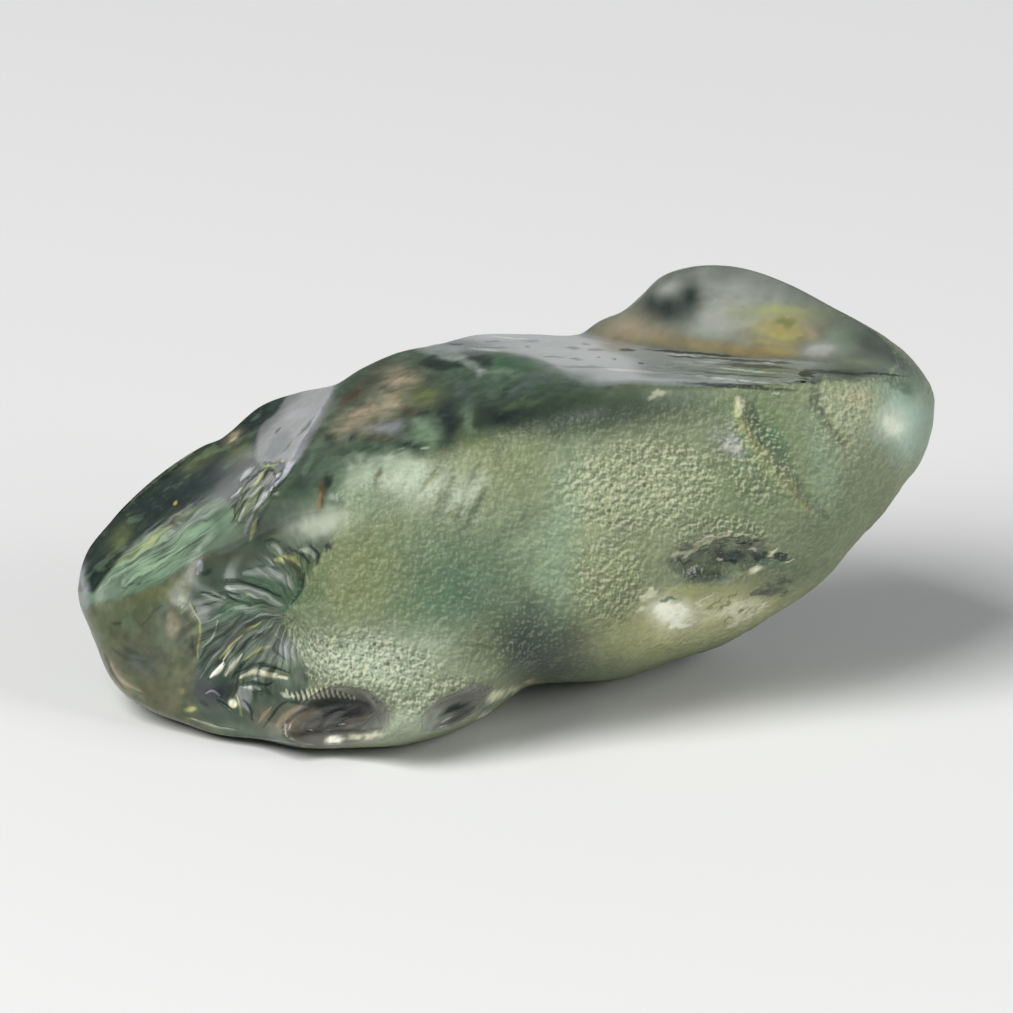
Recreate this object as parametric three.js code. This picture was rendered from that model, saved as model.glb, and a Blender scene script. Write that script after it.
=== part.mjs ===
// A raw sapphire: one broken, water-worn piece of corundum, 16 mm long. Sizes are in millimetres.
// The stone is drawn square to its frosted broad side, in three measures:
//   along  runs from the left tip to the right tip,
//   rise   is the height above the lowest point of that outline,
//   depth  is towards the viewer, with 0 about halfway through the stone.
// It then leans back by LEAN, so that it lies on its resting face with +Z up.
import * as THREE from 'three';
import { mergeVertices } from 'three/addons/utils/BufferGeometryUtils.js';

const LENGTH = 16;
const LEAN = THREE.MathUtils.degToRad(20);
const LEFT_TIP_RISE = 2.95;
const RIGHT_TIP_RISE = 6.5;
const RESTING_LEVEL = 0.62; // the resting face is worn flat this far above the lowest point

// The outline of the broad side, as [along, rise].
const TOP_EDGE = [
  [0.05, 3.35], [0.4, 4.0], [0.8, 4.48], [1.5, 5.12], [2.3, 5.65], [2.7, 5.82], [3.4, 6.4], [4.15, 6.67],
  [4.8, 6.8], [5.3, 7.1], [6.0, 7.42], [6.8, 7.58], [7.5, 7.74], [8.5, 7.76], [9.35, 7.76], [9.75, 8.0],
  [10.2, 8.18], [10.5, 8.43], [10.9, 8.82], [11.4, 9.0], [12.0, 9.05], [12.6, 8.96], [13.3, 8.68],
  [14.2, 8.21], [15.0, 7.75], [15.5, 7.36], [15.95, 6.75],
];
const BOTTOM_EDGE = [
  [0.05, 2.65], [0.25, 2.15], [0.5, 1.5], [0.8, 1.08], [1.2, 0.8], [1.9, 0.5], [2.5, 0.3], [3.4, 0.19],
  [4.2, 0.02], [5.2, 0.02], [6.0, 0.06], [6.8, 0.24], [7.5, 0.55], [7.9, 0.8], [8.25, 1.08], [8.6, 1.2],
  [9.8, 1.25], [10.4, 1.36], [11.2, 1.64], [12.0, 1.9], [12.6, 2.22], [13.1, 2.54], [13.9, 3.1],
  [14.6, 3.9], [15.1, 4.45], [15.5, 5.02], [15.95, 5.95],
];

// Where the outline lies in depth along its top and bottom edges, as [along, depth].
const TOP_RIM = [
  [0, 0], [0.4, -0.7], [1, -1.25], [2, -1.55], [2.9, -1.5], [3.8, -1.45], [4.4, -0.9], [4.8, -0.35], [5.3, -0.55],
  [6, -0.6], [7, -0.8], [7.6, -1.1], [9.4, -1.2],
  [10.5, -2.2], [11.6, -2.1], [12.6, -1.6], [13.6, -0.9], [14.6, -0.2], [15.4, 0.1], [16, 0.1],
];
const BOTTOM_RIM = [
  [0, 0], [1, 0.3], [2, 0.7], [3, 1.2], [4.2, 1.5], [6, 1.3], [7, 0.9], [8, 0], [9, -0.9], [10, -1.5],
  [11.6, -2.0], [12.5, -1.6], [13.5, -0.9], [14.6, -0.4], [16, 0.1],
];
// How far the front and the back swell out from the chord between those rims, as [along, depth].
const FRONT_SWELL = [[0, 3.0], [2, 3.4], [4, 3.9], [7, 4.4], [10, 5.3], [12, 5.7], [13.5, 5.0], [15, 4.2], [16, 3.6]];
const BACK_SWELL = [[0, 3.0], [3, 3.8], [6, 4.1], [9, 3.4], [12, 2.9], [14, 2.8], [16, 2.6]];
const FRONT_ROUNDING = 2.7; // 2 is an ellipse, and more is squarer
const BACK_ROUNDING = 2.5;

// Flat faces, each through a point [along, rise, depth], with the depth gained per mm along and per mm
// of rise, and how softly its edges are worn.
const BROAD_FACE = { at: [9, 3.9, 3.3], slope: [0, -0.1], worn: 0.5 };
const SHOULDER = { at: [4.8, 6.73, -0.3], slope: [0.63, -1.9], worn: 0.25 };
const LEFT_FACET = { at: [4.8, 6.73, -0.3], slope: [1.98, -2.66], worn: 0.15 };
const UPPER_LEFT = { at: [0.6, 3.25, 0.9], slope: [1.2, -1.9], worn: 0.3 };
const LOWER_LEFT = { at: [0.6, 2.4, 1.1], slope: [0.45, 0.2], worn: 0.25 };
const SHELF_TOP = { at: [11.6, 6.75, 2.9], slope: [0, -4], worn: 0.25 };
const HUMP_FACE = { at: [11.6, 7.35, 0.5], slope: [0.2, -0.9], worn: 0.5 };
const HUMP_LEFT = { at: [10.7, 7.44, 0.14], slope: [0.9, -0.9], worn: 0.5 };
const BACK_FACE = { at: [8, 4.5, -3.5], slope: [0.08, 0.12], worn: 0.3 };
const BACK_LEFT = { at: [2.5, 4.5, -2.2], slope: [-0.6, 0.35], worn: 0.3 };

// The edge where the frosted skin of the broad face has broken away at the left, as [rise, along], and
// the wall that falls from it to the lower left face.
const BREAK_EDGE = [[0.8, 4.2], [1.3, 4.3], [1.75, 4.15], [2.4, 3.85], [3.05, 4.15], [3.7, 4.6], [4.4, 5.0], [5.2, 4.7]];
const BREAK_LEVEL = 3.4;
const BREAK_STEEPNESS = 2.4;
const BREAK_FILLET = 1.1;

// Cups broken out of a side: centre [along, rise], half-widths there, turn, and the depths of the
// floor and of the lip.
const FRONT_CUPS = [
  { at: [2.7, 3.5], reach: [1.5, 1.1], turn: 0.5, floor: 1.7, lip: 2.4 },
  { at: [3.1, 1.6], reach: [1.0, 1.0], turn: 0, floor: 1.75, lip: 2.4 },
  { at: [4.7, 0.45], reach: [0.95, 0.6], turn: 0.1, floor: 2.2, lip: 3.1 },
  { at: [7.15, 0.7], reach: [0.5, 0.3], turn: 0.4, floor: 2.4, lip: 2.9 },
  { at: [12.2, 3.5], reach: [1.2, 0.5], turn: 0.1, floor: 2.3, lip: 2.9 },
  { at: [8.3, 2.6], reach: [1.0, 2.4], turn: -0.15, floor: 3.1, lip: 3.45 },
];
const BACK_CUPS = [
  { at: [12.4, 4.6], reach: [2.4, 1.7], turn: 0.45, floor: -2.3, lip: -3.2 },
  { at: [5.0, 2.2], reach: [1.5, 1.0], turn: -0.3, floor: -2.5, lip: -3.3 },
];
const LIP_WEAR = 0.15;

// The worn groove down the right of the broad face, as [along, rise].
const GROOVE = [[12.3, 6.5], [12.5, 5.95], [13.05, 5.2], [13.5, 4.65], [14.1, 4.2]];
const GROOVE_DEPTH = 0.2;
const GROOVE_HALF_WIDTH = 0.45;

const LUMP = 0.06; // height of the slow unevenness of every side
const LUMP_SPACING = 3.4;

const AROUND = 68;
const RINGS = 72;
const TIP_CROWDING = 0.9; // nearer 1 brings the rings closer together at the tips
const FRONT_CROWDING = 0.25; // share by which the front has more vertices than the back

const { sin, cos, sqrt, abs, hypot, max, min, PI } = Math;

// A smooth curve through [x, y] points, level beyond the first and the last.
function curveThrough(points) {
  const slope = points.map((p, i) => {
    const before = points[max(i - 1, 0)];
    const after = points[min(i + 1, points.length - 1)];
    return (after[1] - before[1]) / (after[0] - before[0]);
  });
  return (x) => {
    if (x <= points[0][0]) return points[0][1];
    const next = points.findIndex((p) => p[0] > x);
    if (next < 0) return points.at(-1)[1];
    const [x0, y0] = points[next - 1];
    const [x1, y1] = points[next];
    const span = x1 - x0;
    const t = (x - x0) / span;
    const rest = 1 - t;
    const fromLeft = (1 + 2 * t) * y0 + t * span * slope[next - 1];
    const fromRight = (3 - 2 * t) * y1 - rest * span * slope[next];
    return rest * rest * fromLeft + t * t * fromRight;
  };
}

// 1 halfway along and 0 at both tips.
const endRounding = (along) => sqrt(max(1 - (2 * along / LENGTH - 1) ** 2, 0));
const axisRise = (along) => LEFT_TIP_RISE + (RIGHT_TIP_RISE - LEFT_TIP_RISE) * along / LENGTH;

// An edge of the outline, kept as its distance from the axis over the end rounding, which is smooth at the tips.
function edgeThrough(points) {
  const share = curveThrough(points.map(([along, rise]) => [along, (rise - axisRise(along)) / endRounding(along)]));
  return (along) => axisRise(along) + endRounding(along) * share(along);
}

const topEdge = edgeThrough(TOP_EDGE);
const bottomEdge = edgeThrough(BOTTOM_EDGE);
const topRim = curveThrough(TOP_RIM);
const bottomRim = curveThrough(BOTTOM_RIM);
const frontSwell = curveThrough(FRONT_SWELL);
const backSwell = curveThrough(BACK_SWELL);
const breakEdge = curveThrough(BREAK_EDGE);

// The lesser of two depths, rounded over where they cross.
function lesser(a, b, worn) {
  const overlap = max(worn - abs(a - b), 0);
  return min(a, b) - overlap * overlap / worn / 4;
}
const greater = (a, b, worn) => -lesser(-a, -b, worn);

const faceDepth = ({ at, slope }, along, rise) => at[2] + slope[0] * (along - at[0]) + slope[1] * (rise - at[1]);

function cupDepth({ at, reach, turn, floor, lip }, along, rise) {
  const a = along - at[0];
  const r = rise - at[1];
  const wide = (a * cos(turn) + r * sin(turn)) / reach[0];
  const high = (r * cos(turn) - a * sin(turn)) / reach[1];
  return floor + (lip - floor) * (wide * wide + high * high);
}

function distanceToLine(points, along, rise) {
  return min(...points.slice(1).map(([a1, r1], i) => {
    const [a0, r0] = points[i];
    const share = ((along - a0) * (a1 - a0) + (rise - r0) * (r1 - r0)) / ((a1 - a0) ** 2 + (r1 - r0) ** 2);
    const s = max(0, min(1, share));
    return hypot(along - a0 - s * (a1 - a0), rise - r0 - s * (r1 - r0));
  }));
}

const bulge = (fullness, rounding) => (1 - fullness ** rounding) ** (1 / rounding);

function unevenness(along, rise) {
  const k = 2 * PI / LUMP_SPACING;
  const long = sin(k * (along + 0.4 * rise) + 1.4 * sin(k * 0.55 * rise));
  const short = sin(k * (1.2 * rise - 0.5 * along) + 1.2 * sin(k * 0.45 * along + 1));
  return long * short;
}

function frontDepth(along, rise, pebble) {
  let depth = lesser(pebble, faceDepth(BROAD_FACE, along, rise), BROAD_FACE.worn);
  const groove = distanceToLine(GROOVE, along, rise) / GROOVE_HALF_WIDTH;
  depth -= GROOVE_DEPTH * max(0, 1 - groove * groove) ** 2;
  const hump = lesser(faceDepth(HUMP_FACE, along, rise), faceDepth(HUMP_LEFT, along, rise), HUMP_LEFT.worn);
  depth = lesser(depth, greater(faceDepth(SHELF_TOP, along, rise), hump, HUMP_FACE.worn), SHELF_TOP.worn);
  depth = lesser(depth, faceDepth(SHOULDER, along, rise), SHOULDER.worn);
  const left = greater(faceDepth(LEFT_FACET, along, rise), faceDepth(UPPER_LEFT, along, rise), UPPER_LEFT.worn);
  depth = lesser(depth, left, LEFT_FACET.worn);
  const breakWall = BREAK_LEVEL + BREAK_STEEPNESS * (along - breakEdge(rise));
  const breakDepth = greater(faceDepth(LOWER_LEFT, along, rise), breakWall, BREAK_FILLET);
  depth = lesser(depth, breakDepth, LOWER_LEFT.worn);
  for (const cup of FRONT_CUPS) depth = lesser(depth, cupDepth(cup, along, rise), LIP_WEAR);
  return depth;
}

function backDepth(along, rise, pebble) {
  let depth = pebble;
  for (const face of [BACK_FACE, BACK_LEFT]) depth = greater(depth, faceDepth(face, along, rise), face.worn);
  for (const cup of BACK_CUPS) depth = greater(depth, cupDepth(cup, along, rise), LIP_WEAR);
  return depth;
}

// The place on the stone of a direction from its middle, with the poles of Y at the tips.
function stonePoint({ x, y, z }) {
  const latitude = Math.asin(max(-1, min(1, y)));
  const along = LENGTH / 2 * (1 - sin(TIP_CROWDING * latitude) / sin(TIP_CROWDING * PI / 2));
  const evenTurn = Math.atan2(x, z);
  const turn = evenTurn - FRONT_CROWDING * sin(evenTurn); // 0 faces the viewer, a right angle is the top edge
  const height = sin(turn);
  const top = topEdge(along);
  const bottom = bottomEdge(along);
  const rise = (top + bottom) / 2 + height * (top - bottom) / 2;
  const chord = bottomRim(along) + (topRim(along) - bottomRim(along)) * (height + 1) / 2;
  const atFront = cos(turn) > 0;
  const swell = atFront
    ? frontSwell(along) * bulge(abs(height), FRONT_ROUNDING)
    : -backSwell(along) * bulge(abs(height), BACK_ROUNDING);
  const pebble = chord + swell * endRounding(along);
  let depth = atFront ? frontDepth(along, rise, pebble) : backDepth(along, rise, pebble);
  depth += LUMP * unevenness(along, rise) * endRounding(along) * cos(turn);
  depth = max(depth, (RESTING_LEVEL - rise * cos(LEAN)) / sin(LEAN));
  return new THREE.Vector3(along, -depth, rise);
}

// Turns the diagonal of each four-sided patch to the one whose middle lies nearer the stone's surface.
function alignDiagonals(index, directions, points) {
  const firstPatch = 3 * AROUND;
  const lastPatch = index.length - 3 * AROUND;
  for (let i = firstPatch; i < lastPatch; i += 6) {
    const [a, b, d, , c] = index.slice(i, i + 6);
    const middle = [a, b, c, d].reduce((sum, k) => sum.add(directions[k]), new THREE.Vector3()).normalize();
    const surface = stonePoint(middle);
    const gap = (p, q) => points[p].clone().add(points[q]).multiplyScalar(0.5).distanceTo(surface);
    if (gap(a, c) < gap(b, d)) index.set([a, b, c, a, c, d], i);
  }
}

function stoneGeometry() {
  let geometry = new THREE.SphereGeometry(1, AROUND, RINGS);
  geometry.deleteAttribute('normal');
  geometry.deleteAttribute('uv');
  geometry = mergeVertices(geometry);
  const position = geometry.getAttribute('position');
  const directions = Array.from({ length: position.count }, (_, i) => new THREE.Vector3().fromBufferAttribute(position, i));
  const points = directions.map(stonePoint);
  points.forEach((point, i) => position.setXYZ(i, point.x, point.y, point.z));
  alignDiagonals(geometry.index.array, directions, points);
  geometry.rotateX(-LEAN);
  geometry.computeBoundingBox();
  const { min: low, max: high } = geometry.boundingBox;
  geometry.translate(-(low.x + high.x) / 2, -(low.y + high.y) / 2, -low.z);
  geometry.computeVertexNormals();
  return geometry;
}

const stone = new THREE.Group();
const sapphire = new THREE.Mesh(
  stoneGeometry(),
  new THREE.MeshStandardMaterial({ color: '#7f9382', roughness: 0.4, metalness: 0 }),
);
sapphire.name = 'raw_sapphire';
stone.add(sapphire);

export default stone;
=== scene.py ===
"""The looks of a raw sapphire: one broken, water-worn piece of corundum, 16 mm long.

The stone is drawn as in its CAD source, square to its frosted broad side, in millimetres: along, from the
left tip to the right tip; rise, above the lowest point of that outline; and depth, towards the viewer. It
then leans back, and is placed in the CAD model's box in metres.
"""

import math

import bmesh
import bpy
import numpy as np
from bpy.props import FloatProperty, FloatVectorProperty, PointerProperty
from mathutils import Matrix, Vector, noise


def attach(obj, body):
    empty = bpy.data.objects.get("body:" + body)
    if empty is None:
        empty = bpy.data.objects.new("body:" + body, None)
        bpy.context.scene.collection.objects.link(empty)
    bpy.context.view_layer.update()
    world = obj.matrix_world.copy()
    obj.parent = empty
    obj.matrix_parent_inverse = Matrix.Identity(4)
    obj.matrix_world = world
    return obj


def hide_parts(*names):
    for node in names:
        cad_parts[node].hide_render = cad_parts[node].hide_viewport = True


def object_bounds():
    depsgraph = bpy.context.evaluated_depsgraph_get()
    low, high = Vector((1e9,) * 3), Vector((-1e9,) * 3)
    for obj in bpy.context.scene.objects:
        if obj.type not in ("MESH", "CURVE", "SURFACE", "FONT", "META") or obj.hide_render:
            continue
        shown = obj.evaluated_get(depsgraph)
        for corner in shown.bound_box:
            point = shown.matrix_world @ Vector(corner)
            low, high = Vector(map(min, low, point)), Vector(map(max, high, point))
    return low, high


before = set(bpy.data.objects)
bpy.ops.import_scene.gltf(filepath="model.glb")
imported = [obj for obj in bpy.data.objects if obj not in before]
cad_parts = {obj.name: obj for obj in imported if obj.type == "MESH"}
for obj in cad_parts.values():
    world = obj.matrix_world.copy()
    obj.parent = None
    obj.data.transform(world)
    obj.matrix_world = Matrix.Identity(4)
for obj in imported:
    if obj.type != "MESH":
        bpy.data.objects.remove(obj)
CAD_LOW, CAD_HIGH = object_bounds()

bl_info = {
    "name": "Raw sapphire",
    "version": (1, 0, 0),
    "blender": (4, 5, 0),
    "location": "3D View > Sidebar > Sapphire",
    "description": "Builds a water-worn raw sapphire and a plain studio around it",
    "category": "Object",
}

NODE = "raw_sapphire"
MM = 0.001
LENGTH = 16.0
LEAN = math.radians(20)
LEFT_TIP_RISE = 2.95
RIGHT_TIP_RISE = 6.5
RESTING_LEVEL = 0.62  # the resting face is worn flat this far above the lowest point

# The outline of the broad side, as (along, rise).
TOP_EDGE = (
    (0.05, 3.35), (0.4, 4.0), (0.8, 4.48), (1.5, 5.12), (2.3, 5.65), (2.7, 5.82), (3.4, 6.4), (4.15, 6.67),
    (4.8, 6.8), (5.3, 7.1), (6.0, 7.42), (6.8, 7.58), (7.5, 7.74), (8.5, 7.76), (9.35, 7.76), (9.75, 8.0),
    (10.2, 8.18), (10.5, 8.43), (10.9, 8.82), (11.4, 9.0), (12.0, 9.05), (12.6, 8.96), (13.3, 8.68),
    (14.2, 8.21), (15.0, 7.75), (15.5, 7.36), (15.95, 6.75),
)
BOTTOM_EDGE = (
    (0.05, 2.65), (0.25, 2.15), (0.5, 1.5), (0.8, 1.08), (1.2, 0.8), (1.9, 0.5), (2.5, 0.3), (3.4, 0.19),
    (4.2, 0.02), (5.2, 0.02), (6.0, 0.06), (6.8, 0.24), (7.5, 0.55), (7.9, 0.8), (8.25, 1.08), (8.6, 1.2),
    (9.8, 1.25), (10.4, 1.36), (11.2, 1.64), (12.0, 1.9), (12.6, 2.22), (13.1, 2.54), (13.9, 3.1),
    (14.6, 3.9), (15.1, 4.45), (15.5, 5.02), (15.95, 5.95),
)

# Where the outline lies in depth along its top and bottom edges, as (along, depth).
TOP_RIM = (
    (0, 0), (0.4, -0.7), (1, -1.25), (2, -1.55), (2.9, -1.5), (3.8, -1.45), (4.4, -0.9), (4.8, -0.35),
    (5.3, -0.55), (6, -0.6), (7, -0.8), (7.6, -1.1), (9.4, -1.2), (10.5, -2.2), (11.6, -2.1), (12.6, -1.6),
    (13.6, -0.9), (14.6, -0.2), (15.4, 0.1), (16, 0.1),
)
BOTTOM_RIM = (
    (0, 0), (1, 0.3), (2, 0.7), (3, 1.2), (4.2, 1.5), (6, 1.3), (7, 0.9), (8, 0), (9, -0.9), (10, -1.5),
    (11.6, -2.0), (12.5, -1.6), (13.5, -0.9), (14.6, -0.4), (16, 0.1),
)
# How far the front and the back swell out from the chord between those rims, as (along, depth).
FRONT_SWELL = (
    (0, 3.0), (2, 3.4), (4, 3.9), (7, 4.4), (10, 5.3), (12, 5.7), (13.5, 5.0), (15, 4.2), (16, 3.6),
)
BACK_SWELL = ((0, 3.0), (3, 3.8), (6, 4.1), (9, 3.4), (12, 2.9), (14, 2.8), (16, 2.6))
FRONT_ROUNDING = 2.7  # 2 is an ellipse, and more is squarer
BACK_ROUNDING = 2.5

# Flat faces: a point (along, rise, depth), the depth gained per mm along and per mm of rise, and how
# softly the edges are worn.
BROAD_FACE = ((9, 3.9, 3.3), (0, -0.1), 0.5)
SHOULDER = ((4.8, 6.73, -0.3), (0.63, -1.9), 0.25)
LEFT_FACET = ((4.8, 6.73, -0.3), (1.98, -2.66), 0.15)
UPPER_LEFT = ((0.6, 3.25, 0.9), (1.2, -1.9), 0.3)
LOWER_LEFT = ((0.6, 2.4, 1.1), (0.45, 0.2), 0.25)
SHELF_TOP = ((11.6, 6.75, 2.9), (0, -4), 0.25)
HUMP_FACE = ((11.6, 7.35, 0.5), (0.2, -0.9), 0.5)
HUMP_LEFT = ((10.7, 7.44, 0.14), (0.9, -0.9), 0.5)
BACK_FACE = ((8, 4.5, -3.5), (0.08, 0.12), 0.3)
BACK_LEFT = ((2.5, 4.5, -2.2), (-0.6, 0.35), 0.3)

# The edge where the frosted skin has broken away at the left, as (rise, along), and the wall that falls
# from it.
BREAK_EDGE = (
    (0.8, 4.2), (1.3, 4.3), (1.75, 4.15), (2.4, 3.85), (3.05, 4.15), (3.7, 4.6), (4.4, 5.0), (5.2, 4.7),
)
BREAK_LEVEL = 3.4
BREAK_STEEPNESS = 2.4
BREAK_FILLET = 1.1

# Cups broken out of a side: the finish they show, if it is their own, then centre, half-widths, turn, the
# depths of the floor and of the lip, and how softly the lip is worn.
FRONT_CUPS = (
    (None, (2.7, 3.5), (1.5, 1.1), 0.5, 1.7, 2.4, 0.7),
    (None, (3.1, 1.6), (1.0, 1.0), 0, 1.75, 2.4, 0.5),
    ("scoop", (4.7, 0.45), (0.95, 0.6), 0.1, 2.2, 3.1, 0.45),
    ("scoop", (7.15, 0.7), (0.55, 0.24), 0.5, 2.5, 2.9, 0.3),
    ("hollow", (12.2, 3.5), (1.2, 0.5), 0.1, 2.3, 2.9, 0.25),
    (None, (8.3, 2.6), (1.0, 2.4), -0.15, 3.1, 3.45, 0.35),
)
BACK_CUPS = (
    ("back_break", (12.4, 4.6), (2.4, 1.7), 0.45, -2.3, -3.2, 0.15),
    ("back_break", (5.0, 2.2), (1.5, 1.0), -0.3, -2.5, -3.3, 0.15),
)

# The worn groove down the right of the broad face, as (rise, along): a steep wall on its left and a slow
# rise to its right.
GROOVE = ((4.2, 14.1), (4.65, 13.5), (5.2, 13.05), (5.95, 12.5), (6.5, 12.3))
GROOVE_DEPTH = 0.14
GROOVE_WIDTH = 0.9
GROOVE_WALL = 0.25
GROOVE_SLANT = 0.75  # turns a distance along into one across the groove
GROOVE_WANDER = 0.08
GROOVE_WAVES = (4.3, 1.7, 3)  # how fast its waves run, how far they sway and how fast they sway
GROOVE_TOP_REACH = 0.3  # how far above its highest point it still runs
GROOVE_TOP_FADE = 0.4

# The pale lobe right of the groove: centre, half-widths, turn in degrees and strength.
LOBE = ((14.5, 6.3), (0.85, 0.85), 0, 1)
LOBE_HEIGHT = 0.07

LUMP = 0.06
LUMP_SPACING = 3.4

# The mesh: a ball whose poles become the tips. Its edges are cut up further in some zones, given as
# from and to along, from and to in rise, and how many cuts.
AROUND = 168
RINGS = 280
TIP_CROWDING = 0.9
FRONT_CROWDING = 0.45
FINE_ZONES = (
    ((2.1, 5.5), (0.3, 3.8), 2),
    ((6.3, 14.0), (6.6, 7.75), 1),
    ((10.8, 13.6), (2.2, 4.2), 1),
    ((12.0, 14.2), (4.2, 6.6), 1),
    ((0.3, 4.6), (3.8, 6.4), 1),
)

# Where finishes meet in the broad side. The ridge, the left edge of the left facet and the right edge of
# the grey face are given as (rise, along), and the other lines as (along, rise).
SKIN_TOP = (
    (4.8, 5.5), (5.6, 5.7), (6.6, 5.8), (7.5, 5.95), (8.5, 6.05), (9.5, 6.15), (10.5, 6.3), (11.5, 6.5),
    (12.2, 6.9), (13, 8),
)
SKIN_TOP_BLUR = 0.8
SHELF_EDGE = (
    (6.2, 7.5), (6.6, 7.43), (7.0, 7.42), (8.0, 7.4), (8.5, 7.33), (8.87, 7.18), (9.05, 7.03), (9.2, 6.92),
    (9.7, 6.79),
)
SHELF_START = 6.3
SHELF_TURNS = 9.8  # where the shelf's own face takes over from SHELF_EDGE
SHELF_END = 13.9
SHELF_END_BLUR = 0.9
FACET_FOOT = 5.35
RIDGE = ((3.6, 3.05), (4.43, 3.38), (4.75, 3.67), (5.11, 3.96), (5.68, 4.31), (6.18, 4.6), (6.73, 4.8))
FACET_EDGE = ((5.0, 3.5), (5.4, 3.34), (5.6, 3.34), (6.0, 3.4), (6.29, 3.72), (6.6, 3.9))
END_FOOT = (
    (0, 2.6), (0.38, 2.72), (0.67, 2.78), (1.45, 3.05), (1.99, 3.4), (2.38, 3.64), (2.81, 3.82), (3.1, 3.95),
    (3.6, 4.15), (4.1, 4.38), (4.9, 4.5),
)
SILK_TOP = ((0.3, 2.9), (0.88, 3.63), (1.2, 3.93), (1.67, 4.2), (2.17, 4.54), (2.7, 4.66), (3.1, 4.3))
GREY_EDGE = ((0.2, 2.9), (0.7, 2.3), (1.34, 2.2), (2.17, 2.33), (2.84, 2.13), (3.3, 2.2), (3.6, 2.5))
# Finishes that show in a patch of their own: centre, half-widths, turn in degrees and strength.
GOLD_FACE = ((11.75, 2.55), (1.7, 0.62), 12, 0.9)
TIP_FACE = ((15.5, 6.2), (0.6, 0.75), 12, 0.9)
HACKLES = ((3.32, 4.72), (0.8, 0.34), 57, 1)

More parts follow.
